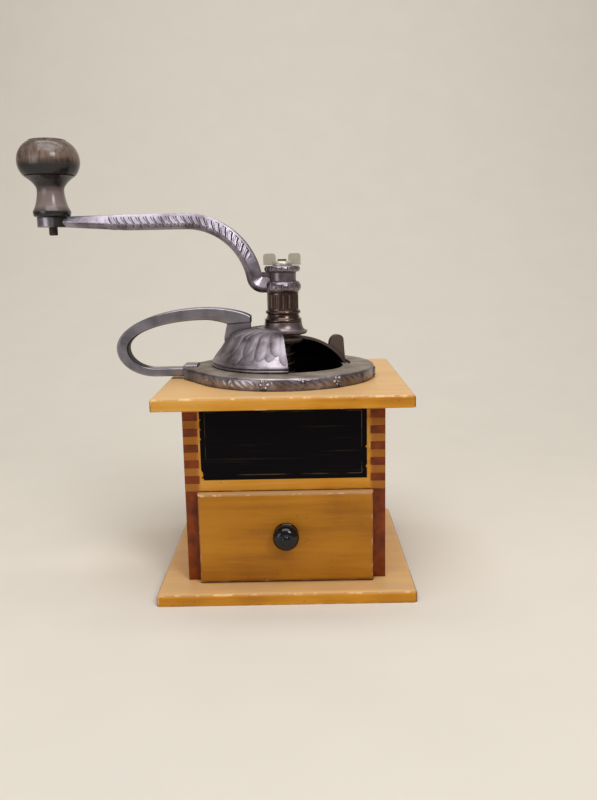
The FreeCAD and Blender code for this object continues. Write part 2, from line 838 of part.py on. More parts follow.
def helix_point(turn, z0, pitch):
    angle = 2 * math.pi * turn
    point = FreeCAD.Vector(spring_r * math.cos(angle), spring_r * math.sin(angle), z0 + pitch * turn)
    along = FreeCAD.Vector(-math.sin(angle), math.cos(angle), pitch / (2 * math.pi * spring_r)).normalize()
    return point, along


def arc_between(start, corner, end):
    """The circular arc whose end tangents meet at the corner."""
    weight = start.distanceToPoint(end) / 2 / start.distanceToPoint(corner)
    shoulder = (start + end + corner * (2 * weight)) * (1 / (2 + 2 * weight))
    return Part.Arc(start, shoulder, end).toShape()


def make_spring():
    """The coil spring that keeps the cone down: quarter turns, each of two arcs, as one unbroken tube."""
    z0 = cone_top + spring_wire_r + running_gap
    z1 = washer_bottom - spring_wire_r - running_gap
    pitch = (z1 - z0) / spring_turns
    edges = []
    for quarter in range(4 * spring_turns):
        start, leaving = helix_point(quarter / 4, z0, pitch)
        end, arriving = helix_point((quarter + 1) / 4, z0, pitch)
        chord = end - start
        bend = 2 * leaving.dot(arriving) - 2
        along = chord.dot(leaving + arriving)
        reach = (along - math.sqrt(along ** 2 - bend * chord.dot(chord))) / bend
        first = start + leaving * reach
        last = end - arriving * reach
        joint = (first + last) * 0.5
        edges.append(arc_between(start, first, joint))
        edges.append(arc_between(joint, last, end))
    start, leaving = helix_point(0, z0, pitch)
    section = Part.Wire(Part.makeCircle(spring_wire_r, start, leaving))
    print("spring: least gap to itself", round(pitch - 2 * spring_wire_r, 2))
    return Part.Wire(edges).makePipeShell([section], True, False)


# Crank
def arm_section(x, level, height, width):
    """The arm's section across X: a chamfered belly, a thin lip and leaning side faces up to a flat top."""
    low = level - height / 2
    half = width / 2
    right = [(half - arm_belly, low), (half, low + arm_belly), (half, low + arm_belly + arm_lip),
             (half - arm_face_lean, low + height)]
    left = [(-y, z) for y, z in reversed(right)]
    points = [FreeCAD.Vector(x, y, z) for y, z in right + left]
    return Part.makePolygon(points + points[:1])


def hub_ring(radius, low, height):
    """A half round ring with shallow upright grooves that part it into beads."""
    bulge = bead_bulge * height
    top = low + height
    ring = turned(outline((0, low), (radius - bulge, low),
                          ("arc", (radius, low + height / 2), (radius - bulge, top)), (0, top)))
    groove = rod(bead_groove_r, low, top, radius + bead_groove_r - bead_groove_depth)
    return ring.cut(spaced(groove, hub_beads, 180.0 / hub_beads))


def make_crank_arm():
    """The S-shaped arm: hub, crook, bend, straight arm with a taper, and the round pad under the knob."""
    taper_x = -(crank_radius - arm_taper)
    pad_x = -(crank_radius - pad_r / 2)
    full = Part.Face(arm_section(bend_x, arm_level, arm_height, arm_width))
    bend = full.revolve(FreeCAD.Vector(bend_x, 0, bend_z), ACROSS, arm_sweep)
    root = Part.Face(arm_section(-arm_root, hub_bottom + arm_height / 2, arm_height, arm_width))
    crook = root.revolve(FreeCAD.Vector(-arm_root, 0, crook_z), ACROSS, arm_sweep)
    root = root.extrude(SIDEWAYS * arm_root)
    straight = full.extrude(SIDEWAYS * (taper_x - bend_x))
    pad_middle = pad_top - pad_thick / 2
    end = Part.makeLoft([arm_section(taper_x, arm_level, arm_height, arm_width),
                         arm_section(pad_x, pad_middle, pad_thick, arm_width - over)], True, True)
    pad = rod(pad_r, pad_bottom, pad_top, -crank_radius)
    web = slab(outline((-arm_root, hub_bottom + arm_height), (0, hub_bottom + arm_height), (0, hub_cap),
                       (-arm_root - crook_r * (1 - math.cos(sweep)), hub_cap)), arm_width - 2 * arm_face_lean)
    hub = [hub_ring(hub_ring_r, hub_bottom, hub_ring_height), rod(hub_neck_r, hub_neck, hub_cap),
           hub_ring(hub_cap_r, hub_cap, hub_cap_height)]
    arm = join(pad, end, straight, bend, crook, root, web, *hub)
    socket = square_bar(hub_square + 2 * running_gap, hub_bottom, hub_top)
    return arm.cut([socket, rod(pin_r, pad_bottom, pad_top, -crank_radius)])


def make_wing_nut():
    """A cast wing nut: a round body with two upright, square shouldered ears."""
    body = turned(outline((0, nut_seat), (wing_nut_r, nut_seat), (wing_nut_r, nut_top - wing_corner),
                          ("round", (wing_nut_r, nut_top), (wing_nut_r - wing_corner, nut_top)),
                          (0, nut_top)))
    tip = wing_span / 2
    root = tip - wing_width
    top = nut_seat + wing_height
    foot = nut_seat + wing_lift
    ear = slab(outline((0, foot), (tip, foot), (tip, top - wing_corner),
                       ("round", (tip, top), (tip - wing_corner, top)), (root + wing_corner, top),
                       ("round", (root, top), (root, top - wing_corner)), (root, nut_top), (0, nut_top)),
               wing_thick)
    nut = join(body, *spaced(ear, 2))
    return nut.cut(rod(shaft_thread_r + running_gap, nut_seat, nut_top + wing_height))


# Knob
def on_crank(solid):
    """Moves a piece made on the shaft's axis out to the crank's end."""
    solid.translate(SIDEWAYS * -crank_radius)
    return solid


def make_knob():
    """The turned wooden knob: a flared foot, a thin neck, a groove under a wide belly and a flat button."""
    bore = pin_r + running_gap
    z = knob_bottom
    foot = (knob_foot_r, z + knob_foot_level)
    neck = (knob_neck_r, z + knob_neck_level)
    waist = (knob_waist_r, z + knob_waist_level)
    lip = (knob_waist_r + knob_groove, z + knob_waist_level + knob_groove)
    belly = (knob_r, z + knob_belly_level)
    shoulder = (knob_button_r + knob_groove, z + knob_shoulder_level)
    button = (knob_button_r, z + knob_height - pin_head / 2)
    recess = pin_head_r + swing_gap
    floor = knob_top - pin_recess
    return on_crank(turned(outline(
        (bore, z), (knob_foot_r - over, z), ("round", (knob_foot_r, z), foot),
        ("round", (knob_neck_r, z + knob_neck_level / 2), neck),
        ("round", (knob_neck_r, (neck[1] + waist[1]) / 2), waist),
        (waist[0] - knob_groove, waist[1] + knob_groove / 2), lip, ("arc", belly, shoulder),
        (knob_button_r, shoulder[1]), button, ("round", (knob_button_r, knob_top), (recess, knob_top)),
        (recess, floor), (bore, floor))))


def make_knob_pin():
    """The pin that the knob turns on: screwed through the pad, with a head in the knob's top."""
    low = pad_bottom - pin_tail
    head_low = knob_top - pin_recess + swing_gap
    pin = turned(outline((0, low), (pin_r - pin_point, low), (pin_r, low + pin_point),
                         (pin_r, head_low), (pin_head_r, head_low), (pin_head_r, head_low + pin_head / 2),
                         ("round", (pin_head_r, head_low + pin_head), (0, head_low + pin_head))))
    return on_crank(pin)


pieces = {
    "base_board": make_base_board(),
    "base_screws": make_base_screws(),
    "left_side_panel": make_side_panel(-1),
    "right_side_panel": make_side_panel(1),
    "front_panel": cross_panel(front, front + case_wall, sill, front_fingers),
    "back_panel": cross_panel(back - case_wall, back, case_floor, back_fingers),
    "top_board": make_top_board(),
    "drawer_front": make_drawer_front(),
    "drawer_left_side": make_drawer_side(-1),
    "drawer_right_side": make_drawer_side(1),
    "drawer_back": make_drawer_back(),
    "drawer_floor": make_drawer_floor(),
    "drawer_knob": make_drawer_pull(),
    "drawer_knob_screw": pull_screw(),
    "hopper_casting": make_hopper_casting(),
    "casting_screws": Part.makeCompound(spaced(casting_screw(), casting_screws, casting_screw_at)),
    "bearing_column": make_column(),
    "side_handle": make_handle(),
    "handle_screw": handle_screw(),
    "hopper_cover": make_cover(),
    "hopper_bowl": make_bowl(),
    "grinding_ring": make_grinding_ring(),
    "ring_screws": Part.makeCompound(spaced(ring_screw(), ring_screws, ring_screw_at)),
    "shaft_bridge": make_bridge(),
    "bridge_screws": Part.makeCompound(spaced(bridge_screw(), 2)),
    "drive_shaft": make_shaft(),
    "grinding_cone": make_grinding_cone(),
    "cone_nut": make_cone_nut(),
    "cone_spring": make_spring(),
    "spring_washer": make_spring_washer(),
    "crank_arm": make_crank_arm(),
    "wing_nut": make_wing_nut(),
    "knob_pin": make_knob_pin(),
    "crank_knob": make_knob(),
}

os.makedirs("parts", exist_ok=True)
for name, shape in pieces.items():
    shape.exportStep("parts/" + name + ".step")
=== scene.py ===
"""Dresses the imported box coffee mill: finishes, cast ornament, label, spring and stage."""

import math

import bmesh
import bpy
from bpy.props import FloatProperty, FloatVectorProperty, IntProperty, PointerProperty
from mathutils import Matrix, Vector
from mathutils.bvhtree import BVHTree


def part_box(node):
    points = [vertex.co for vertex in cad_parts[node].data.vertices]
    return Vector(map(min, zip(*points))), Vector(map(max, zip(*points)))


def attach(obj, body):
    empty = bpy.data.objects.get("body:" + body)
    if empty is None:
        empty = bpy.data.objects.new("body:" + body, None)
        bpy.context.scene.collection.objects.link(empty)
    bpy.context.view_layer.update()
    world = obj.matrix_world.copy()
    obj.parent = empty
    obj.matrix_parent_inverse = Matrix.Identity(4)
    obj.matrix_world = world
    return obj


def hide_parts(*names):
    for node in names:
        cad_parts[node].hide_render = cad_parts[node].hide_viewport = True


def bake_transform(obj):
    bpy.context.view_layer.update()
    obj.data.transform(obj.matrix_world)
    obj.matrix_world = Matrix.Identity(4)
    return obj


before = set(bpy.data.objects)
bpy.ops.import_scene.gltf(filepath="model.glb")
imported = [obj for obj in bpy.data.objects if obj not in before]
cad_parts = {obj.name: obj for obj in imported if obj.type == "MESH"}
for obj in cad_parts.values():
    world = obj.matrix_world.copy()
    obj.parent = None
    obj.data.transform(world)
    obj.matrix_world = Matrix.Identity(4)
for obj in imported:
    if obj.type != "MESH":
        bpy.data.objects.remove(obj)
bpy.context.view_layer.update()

bl_info = {
    "name": "Box Coffee Mill",
    "version": (1, 0, 0),
    "blender": (4, 5, 0),
    "location": "View3D > Sidebar > Mill",
    "description": "Finishes, ornament and stage for a hand cranked box coffee mill",
    "category": "Object",
}

MM = 0.001


def linear(hex_colour):
    """Turns an sRGB hex value into the linear colour that a shader takes."""
    parts = [int(hex_colour[i:i + 2], 16) / 255 for i in (0, 2, 4)]
    return [p / 12.92 if p <= 0.04045 else ((p + 0.055) / 1.055) ** 2.4 for p in parts] + [1.0]


def colour(label, about, hex_colour):
    """A colour that a user may change."""
    return FloatVectorProperty(name=label, description=about, subtype="COLOR", size=4,
                               min=0.0, max=1.0, default=linear(hex_colour))


def length(label, about, millimetres):
    """A length that a user may change."""
    return FloatProperty(name=label, description=about, unit="LENGTH", min=0.0,
                         default=millimetres * MM)


class MillColours(bpy.types.PropertyGroup):
    """Colours of the mill's finishes and of its stage."""

    shellac: colour("Shellac", "Maple under old amber shellac", "C8871E")
    shellac_dark: colour("Shellac, dark", "Dark streaks of the shellacked maple", "9C6014")
    shellac_pale: colour("Shellac, pale", "Worn, pale streaks of the shellacked maple", "D29C48")
    drawer_shellac: colour("Drawer shellac", "The drawer's duller, browner shellac", "A86C14")
    drawer_dark: colour("Drawer, dark", "Dark streaks of the drawer's front", "865010")
    drawer_pale: colour("Drawer, pale", "Paler streaks of the drawer's front", "B87C1E")
    end_grain: colour("End grain", "Where the boards' ends soaked up the stain", "82390C")
    end_dark: colour("End grain, dark", "The darkest pores of the boards' ends", "5A2206")
    # This pale wood is also painted on upper faces as a sheen of the light from above
    bare_wood_and_sheen: colour("Bare wood", "Wood where the finish has rubbed off", "E6C492")
    inside_wood: colour("Inside wood", "Unfinished wood inside the case", "B98E58")
    # This dark colour serves the pin knots and the painted shade in the wood's corners
    knots_and_corner_shade: colour("Grime", "Dirt in corners of wood and iron", "3A2412")
    iron: colour("Polished iron", "Bright polished cast iron", "A8A0A8")
    iron_dark: colour("Dark iron", "Dull patches of the polished iron", "6E6468")
    bright_iron: colour("Bright iron", "The arm's brightest polish", "A098A4")
    worn_iron: colour("Worn iron", "The arm's duller patches", "6C626A")
    handle_iron: colour("Handle iron", "The loop handle's smooth polish", "9C97A0")
    handle_dark: colour("Handle iron, dark", "Duller patches of the loop handle", "7E7982")
    oiled_steel: colour("Oiled steel", "Steel inside the hopper, dark with coffee oil", "45403C")
    black_iron: colour("Dark column", "The column's darkened iron", "64524C")
    rust: colour("Rust", "Brown rust in the iron's hollows", "2C1E18")
    patina: colour("Patina", "Grey green film on the iron's flat tops", "8C8276")
    patina_dark: colour("Patina, dark", "Brown patches of the film", "706256")
    raw_iron: colour("Raw iron", "Cast iron as it left the mould, black with coffee oil", "1C1817")
    steel: colour("Steel", "Turned steel of shaft and screws", "9A9690")
    nickel: colour("Nickel", "Dull bright plating of the wing nut", "C2BAAC")
    lacquer: colour("Black lacquer", "Lacquer of the drawer knob", "09070D")
    knob_stain: colour("Knob stain", "Dark stain of the crank's knob", "1E161A")
    # These two knob colours also carry a painted sheen on the belly and the foot
    knob_foot_wear_and_sheen: colour("Knob, foot", "The knob's rubbed neck and foot", "8A7875")
    knob_wear_and_sheen: colour("Knob, worn", "Where hands have worn the knob's belly", "806B5E")
    label: colour("Label", "Black paper label on the front", "08060A")
    gold: colour("Gold line", "Printed border line of the label", "5C4C3C")
    floor: colour("Floor", "Pale floor and backdrop", "DED7CB")


class MillSizes(bpy.types.PropertyGroup):
    """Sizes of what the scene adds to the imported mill."""

    label_left: length("Label, left", "From the middle to the label's left edge", 53.7)
    label_right: length("Label, right", "From the middle to the label's right edge", 52.7)
    label_foot: length("Label, foot", "From the panel's lower edge up to the label", 7.4)
    label_head: length("Label, head", "From the label up to the top board", 2.2)
    label_thick: length("Label thickness", "Thickness of the paper", 0.15)
    label_line_inset: length("Line inset", "From the label's edge to its border line", 3.3)
    label_line: length("Line width", "Width of the border line", 0.5)
    leaf_height: length("Leaf height", "Height of the hood's leaves", 1.7)
    leaf_reach: length("Leaf reach", "From the crown down to the leaves' tips", 39.0)
    leaf_turn: FloatProperty(name="Leaf turn", description="Where the front leaf lies round the hood",
                             subtype="ANGLE", default=math.radians(-110.0))
    rosette: length("Rosette", "Radius of the rim's rosettes", 3.9)
    rosette_height: length("Rosette height", "Height of the rim's rosettes", 1.3)
    rosettes: IntProperty(name="Rosettes", description="Rosettes round the rim", default=8, min=1)
    rosette_turn: FloatProperty(name="Rosette turn", description="Where the front rosette lies",
                                subtype="ANGLE", default=math.radians(-101.0))
    arm_leaf_height: length("Arm leaf height", "Height of the leaves on the crank's arm", 0.6)
    arm_leaf_step: length("Arm leaf step", "From one leaf of the arm to the next", 5.0)
    spring_wire: length("Spring wire", "Radius of the spring's wire", 0.8)
    spring_turns: IntProperty(name="Spring turns", description="Turns of the spring", default=8, min=1)


def add(tree, kind, inputs=None, stops=None, **settings):
    """Adds a node with its settings, sets or links its inputs, and gives its outputs."""
    node = tree.nodes.new("ShaderNode" + kind)
    for name, value in settings.items():
        setattr(node, name, value)
    for key, value in (inputs or {}).items():
        if isinstance(value, bpy.types.NodeSocket):
            tree.links.new(value, node.inputs[key])
        else:
            node.inputs[key].default_value = value
    for spot, value in enumerate(stops or ()):
        marks = node.color_ramp.elements
        mark = marks[spot] if spot < 2 else marks.new(value[0])
        mark.position, mark.color = value
    return node.outputs


def per(millimetres):
    """The scale of a noise whose grains are this large, on coordinates in metres."""
    return 1.0 / (millimetres * MM)


def bands(millimetres):
    """The scale of a wave whose bands are this far apart, on coordinates in metres."""
    return math.pi / 10 / (millimetres * MM)


def new_material(name):
    """An empty material and its node tree."""
    material = bpy.data.materials.new(name)
    material.use_nodes = True
    material.node_tree.nodes.clear()
    return material, material.node_tree


def close_material(tree, inputs):
    """Ends a material with its shader."""
    shader = add(tree, "BsdfPrincipled", inputs)["BSDF"]
    add(tree, "OutputMaterial", {"Surface": shader})


def grey(value):
    """A stop of a ramp that carries a number."""
    return (value, value, value, 1.0)


def shellacked_maple(name, tints, grain, dark, tone, pale, corner=1.0):
    """Plain sawn maple under amber shellac: long soft streaks, dark thirsty ends, worn edges, satin gloss.

    grain is the axis that the grain runs along, and corner is where a panel's fingers start on it.
    """
    material, tree = new_material(name)
    here = add(tree, "TexCoord")
    stretch = [1.0, 1.0, 1.0]
    stretch[grain] = 0.045
    along = add(tree, "Mapping", {"Vector": here["Object"], "Scale": stretch,
                                  "Location": (0.013, 0.037, 0.051)})["Vector"]
    # Broad growth bands, streaks 4 mm wide and fibres 0.7 mm wide, all some twenty times as long
    rings = add(tree, "TexNoise", {"Vector": along, "Scale": per(13.0), "Detail": 2.0,
                                   "Distortion": 0.6})["Fac"]
    streaks = add(tree, "TexNoise", {"Vector": along, "Scale": per(4.0), "Detail": 4.0,
                                     "Roughness": 0.6})["Fac"]
    fibres = add(tree, "TexNoise", {"Vector": along, "Scale": per(0.7), "Detail": 2.0})["Fac"]
    clouds = add(tree, "TexNoise", {"Vector": here["Object"], "Scale": per(38.0), "Detail": 3.0})["Fac"]
    figure = rings
    for part, weight in ((streaks, 0.55), (fibres, 0.3), (clouds, 0.75)):
        figure = add(tree, "Math", {0: part, 1: weight, 2: figure}, operation="MULTIPLY_ADD")[0]
    # The weights add up to 2.6, so the figure's middle lies at 1.3
    level = add(tree, "MapRange", {"Value": figure, "From Min": 0.85, "From Max": 1.75})["Result"]
    face = add(tree, "ValToRGB", {"Fac": level}, stops=[(0.08, dark), (0.5, tone), (0.95, pale)])["Color"]
    # Dark pin knots about 0.8 mm across, some 15 mm apart
    pins = add(tree, "TexVoronoi", {"Vector": here["Object"], "Scale": per(6.5)})["Distance"]
    knot = add(tree, "MapRange", {"Value": pins, "From Min": 0.085, "From Max": 0.04,
                                  "To Max": 0.6})["Result"]
    face = add(tree, "Mix", {0: knot, 6: face, 7: tints.knots_and_corner_shade}, data_type="RGBA")[2]
    # The fingers at a panel's ends have soaked up stain and glue
    reach = add(tree, "SeparateXYZ", {"Vector": here["Object"]})[grain]
    reach = add(tree, "Math", {0: reach}, operation="ABSOLUTE")[0]
    finger = add(tree, "MapRange", {"Value": reach, "From Min": corner - 1.0 * MM,
                                    "From Max": corner + 1.5 * MM})["Result"]
    thirst = add(tree, "MapRange", {"Value": clouds, "To Min": 0.25, "To Max": 0.95})["Result"]
    soaked = add(tree, "Math", {0: finger, 1: thirst}, operation="MULTIPLY")[0]
    face = add(tree, "Mix", {0: soaked, 6: face, 7: tints.end_grain}, data_type="RGBA")[2]
    # The ends of the boards, where the grain comes out
    turned = add(tree, "SeparateXYZ", {"Vector": here["Normal"]})[grain]
    facing = add(tree, "Math", {0: turned}, operation="ABSOLUTE")[0]
    ends = add(tree, "MapRange", {"Value": facing, "From Min": 0.55, "From Max": 0.85})["Result"]
    pores = add(tree, "TexNoise", {"Vector": here["Object"], "Scale": per(7.0), "Detail": 6.0})["Fac"]
    thirsty = add(tree, "ValToRGB", {"Fac": pores}, stops=[
        (0.3, tints.end_dark), (0.66, tints.end_grain)])["Color"]
    body = add(tree, "Mix", {0: ends, 6: face, 7: thirsty}, data_type="RGBA")[2]
    # Upper faces are painted paler, a painted sheen of the light from above
    up = add(tree, "SeparateXYZ", {"Vector": here["Normal"]})["Z"]
    painted_top_sheen = add(tree, "MapRange", {"Value": up, "From Min": 0.4, "From Max": 0.9, "To Max": 0.56})["Result"]
    body = add(tree, "Mix", {0: painted_top_sheen, 6: body, 7: tints.bare_wood_and_sheen}, data_type="RGBA")[2]
    # Outer edges, where no side faces square on, are stained brown and chipped bare, in patches 8 mm long
    soft = add(tree, "Bevel", {"Radius": 0.8 * MM}, samples=6)["Normal"]
    wide = add(tree, "Bevel", {"Radius": 3.0 * MM}, samples=8)["Normal"]
    wide = add(tree, "VectorMath", {0: wide}, operation="ABSOLUTE")["Vector"]
    wide = add(tree, "SeparateXYZ", {"Vector": wide})
    square = add(tree, "Math", {0: wide["X"], 1: wide["Y"]}, operation="MAXIMUM")[0]
    square = add(tree, "Math", {0: square, 1: wide["Z"]}, operation="MAXIMUM")[0]
    edge = add(tree, "MapRange", {"Value": square, "From Min": 0.995, "From Max": 0.76})["Result"]
    patches = add(tree, "TexNoise", {"Vector": here["Object"], "Scale": per(8.0), "Detail": 4.0,
                                     "Roughness": 0.6})["Fac"]
    bite = add(tree, "MapRange", {"Value": patches, "From Min": 0.52, "From Max": 0.74,
                                  "To Max": 0.8})["Result"]
    whole = add(tree, "Math", {0: ends, 1: finger}, operation="MAXIMUM")[0]
    side = add(tree, "MapRange", {"Value": whole, "To Min": 1.0, "To Max": 0.0})["Result"]
    stained = add(tree, "MapRange", {"Value": edge, "From Min": 0.55, "From Max": 1.0,
                                     "To Max": 0.5})["Result"]
    stained = add(tree, "Math", {0: stained, 1: side}, operation="MULTIPLY")[0]
    body = add(tree, "Mix", {0: stained, 6: body, 7: tints.end_grain}, data_type="RGBA")[2]
    chipped = add(tree, "Math", {0: edge, 1: bite}, operation="ADD")[0]
    chipped = add(tree, "MapRange", {"Value": chipped, "From Min": 0.95, "From Max": 1.15,
                                     "To Max": 0.85})["Result"]
    chipped = add(tree, "Math", {0: chipped, 1: side}, operation="MULTIPLY")[0]
    body = add(tree, "Mix", {0: chipped, 6: body, 7: tints.bare_wood_and_sheen}, data_type="RGBA")[2]
    # Painted shade: darker in corners and creases, by ambient occlusion
    open_sky = add(tree, "AmbientOcclusion", {"Distance": 4.0 * MM}, samples=6)["AO"]
    corner_shade = add(tree, "MapRange", {"Value": open_sky, "From Min": 0.55, "From Max": 0.15,
                                  "To Max": 0.6})["Result"]
    body = add(tree, "Mix", {0: corner_shade, 6: body, 7: tints.knots_and_corner_shade}, data_type="RGBA")[2]
    gloss = add(tree, "MapRange", {"Value": clouds, "To Min": 0.34, "To Max": 0.48})["Result"]
    relief = add(tree, "Bump", {"Height": level, "Strength": 0.15, "Distance": 0.1 * MM,
                                "Normal": soft})["Normal"]
    close_material(tree, {"Base Color": body, "Roughness": gloss, "Normal": relief, "IOR": 1.5,
                          "Specular IOR Level": 0.24})
    return material


def polished_iron(name, tints, dark, tone, edge=0.4 * MM, film_top=0.0, oil=0.62, matt=(0.26, 0.44),
                  rust=1.0):
    """Polished cast iron: lavender grey glints, a rippled skin, brown hollows, a black inside, dull film.

    edge is how round the edges are, film_top how high the film lies, oil and rust how much of each shows,
    and matt the roughness of the brightest and of the dullest polish.
    """
    material, tree = new_material(name)
    here = add(tree, "TexCoord")
    blotch = add(tree, "TexNoise", {"Vector": here["Object"], "Scale": per(12.0), "Detail": 4.0})["Fac"]
    skin = add(tree, "TexNoise", {"Vector": here["Object"], "Scale": per(2.2), "Detail": 4.0,
                                  "Roughness": 0.55})["Fac"]
    metal = add(tree, "ValToRGB", {"Fac": blotch}, stops=[(0.34, dark), (0.62, tone)])["Color"]
    # Rust stays where polishing cannot reach, in hollows a few millimetres wide
    open_sky = add(tree, "AmbientOcclusion", {"Distance": 3.0 * MM}, samples=8)["AO"]
    hollow = add(tree, "MapRange", {"Value": open_sky, "From Min": 0.9, "From Max": 0.5})["Result"]
    broken = add(tree, "MapRange", {"Value": skin, "From Min": 0.25, "From Max": 0.5,
                                    "To Max": rust})["Result"]
    rusty = add(tree, "Math", {0: hollow, 1: broken}, operation="MULTIPLY")[0]
    metal = add(tree, "Mix", {0: rusty, 6: metal, 7: tints.rust}, data_type="RGBA")[2]
    # A dull film lies on what faces up, as far as the flange's top
    up = add(tree, "SeparateXYZ", {"Vector": here["Normal"]})["Z"]
    flat = add(tree, "MapRange", {"Value": up, "From Min": 0.7, "From Max": 0.93})["Result"]
    level = add(tree, "SeparateXYZ", {"Vector": here["Object"]})["Z"]
    below = add(tree, "Math", {0: level, 1: film_top}, operation="LESS_THAN")[0]
    flat = add(tree, "Math", {0: flat, 1: below}, operation="MULTIPLY")[0]
    film = add(tree, "ValToRGB", {"Fac": blotch}, stops=[
        (0.36, tints.patina_dark), (0.6, tints.patina)])["Color"]
    metal = add(tree, "Mix", {0: flat, 6: metal, 7: film}, data_type="RGBA")[2]
    # Old oil has crept from the shaft over what lies close to it
    from_axis = add(tree, "VectorMath", {0: here["Object"], 1: (1.0, 1.0, 0.0)},
                    operation="MULTIPLY")["Vector"]
    away = add(tree, "VectorMath", {0: from_axis}, operation="LENGTH")["Value"]
    oily = add(tree, "MapRange", {"Value": away, "From Min": 24.0 * MM, "From Max": 13.0 * MM,
                                  "To Max": oil})["Result"]
    metal = add(tree, "Mix", {0: oily, 6: metal, 7: tints.black_iron}, data_type="RGBA")[2]
    # What faces the axis is the inside, mixed to near black raw iron
    outward = add(tree, "VectorMath", {0: from_axis}, operation="NORMALIZE")["Vector"]
    faced = add(tree, "VectorMath", {0: outward, 1: here["Normal"]}, operation="DOT_PRODUCT")["Value"]
    inside = add(tree, "MapRange", {"Value": faced, "From Min": -0.1, "From Max": -0.3})["Result"]
    metal = add(tree, "Mix", {0: inside, 6: metal, 7: tints.raw_iron}, data_type="RGBA")[2]
    dull = add(tree, "Math", {0: rusty, 1: flat}, operation="MAXIMUM")[0]
    dull = add(tree, "Math", {0: dull, 1: inside}, operation="MAXIMUM")[0]
    bright = add(tree, "MapRange", {"Value": dull, "To Min": 1.0, "To Max": 0.25})["Result"]
    base_gloss = add(tree, "MapRange", {"Value": blotch, "To Min": matt[0], "To Max": matt[1]})["Result"]
    gloss = add(tree, "Mix", {0: dull, 2: base_gloss, 3: 0.58})[0]
    # Turned rings and beads by the axis stay crisp, long edges are rounder
    blunt = add(tree, "MapRange", {"Value": away, "From Min": 14.0 * MM, "From Max": 20.0 * MM,
                                   "To Min": 0.25 * MM, "To Max": edge})["Result"]
    soft = add(tree, "Bevel", {"Radius": blunt}, samples=6)["Normal"]
    relief = add(tree, "Bump", {"Height": skin, "Strength": 0.28, "Distance": 0.25 * MM,
                                "Normal": soft})["Normal"]
    close_material(tree, {"Base Color": metal, "Metallic": bright, "Roughness": gloss, "Normal": relief})
    return material


def raw_iron(name, tints):
    """Cast iron as it left the sand: dark, coarse and dull, oiled by coffee, with a little rust."""
    material, tree = new_material(name)
    here = add(tree, "TexCoord")["Object"]
    sand = add(tree, "TexNoise", {"Vector": here, "Scale": per(1.1), "Detail": 5.0,
                                  "Roughness": 0.7})["Fac"]
    stain = add(tree, "TexNoise", {"Vector": here, "Scale": per(14.0), "Detail": 3.0})["Fac"]
    spread = add(tree, "MapRange", {"Value": stain, "From Min": 0.5, "From Max": 0.8,
                                    "To Max": 0.5})["Result"]
    metal = add(tree, "Mix", {0: spread, 6: tints.raw_iron, 7: tints.rust}, data_type="RGBA")[2]
    gloss = add(tree, "MapRange", {"Value": sand, "To Min": 0.5, "To Max": 0.8})["Result"]
    relief = add(tree, "Bump", {"Height": sand, "Strength": 0.5, "Distance": 0.3 * MM})["Normal"]
    close_material(tree, {"Base Color": metal, "Metallic": 0.3, "Roughness": gloss, "Normal": relief,
                          "Specular IOR Level": 0.3})
    return material


def turned_steel(name, tints, tone, shine, share=1.0):
    """Turned or plated steel: bright, with fine tool rings and a few grey oxide specks.

    shine is its least roughness, and share how much of it is bare metal.
    """
    material, tree = new_material(name)
    here = add(tree, "TexCoord")["Object"]
    # Tool marks are finer than a pixel, so they are drawn 0.5 mm apart
    tool = add(tree, "TexWave", {"Vector": here, "Scale": bands(0.5), "Distortion": 1.5},
               bands_direction="Z")["Fac"]
    specks = add(tree, "TexNoise", {"Vector": here, "Scale": per(2.2), "Detail": 5.0})["Fac"]
    oxide = add(tree, "MapRange", {"Value": specks, "From Min": 0.58, "From Max": 0.85})["Result"]
    metal = add(tree, "Mix", {0: oxide, 6: tone, 7: tints.iron_dark}, data_type="RGBA")[2]
    gloss = add(tree, "MapRange", {"Value": specks, "To Min": shine, "To Max": shine + 0.25})["Result"]
    soft = add(tree, "Bevel", {"Radius": 0.25 * MM}, samples=4)["Normal"]
    relief = add(tree, "Bump", {"Height": tool, "Strength": 0.08, "Distance": 0.05 * MM,
                                "Normal": soft})["Normal"]
    close_material(tree, {"Base Color": metal, "Metallic": share, "Roughness": gloss, "Normal": relief})
    return material


def black_lacquer(name, tints):
    """Turned wood under thick black lacquer: a deep gloss, rubbed a little browner in places."""
    material, tree = new_material(name)
    here = add(tree, "TexCoord")["Object"]
    haze = add(tree, "TexNoise", {"Vector": here, "Scale": per(3.0), "Detail": 4.0})["Fac"]
    gloss = add(tree, "MapRange", {"Value": haze, "To Min": 0.06, "To Max": 0.16})["Result"]
    rubbed = add(tree, "MapRange", {"Value": haze, "From Min": 0.6, "From Max": 0.8})["Result"]
    coat = add(tree, "Mix", {0: rubbed, 6: tints.lacquer, 7: tints.knob_stain}, data_type="RGBA")[2]
    soft = add(tree, "Bevel", {"Radius": 0.4 * MM}, samples=4)["Normal"]
    close_material(tree, {"Base Color": coat, "Roughness": gloss, "IOR": 1.5, "Specular IOR Level": 0.42,
                          "Normal": soft})
    return material


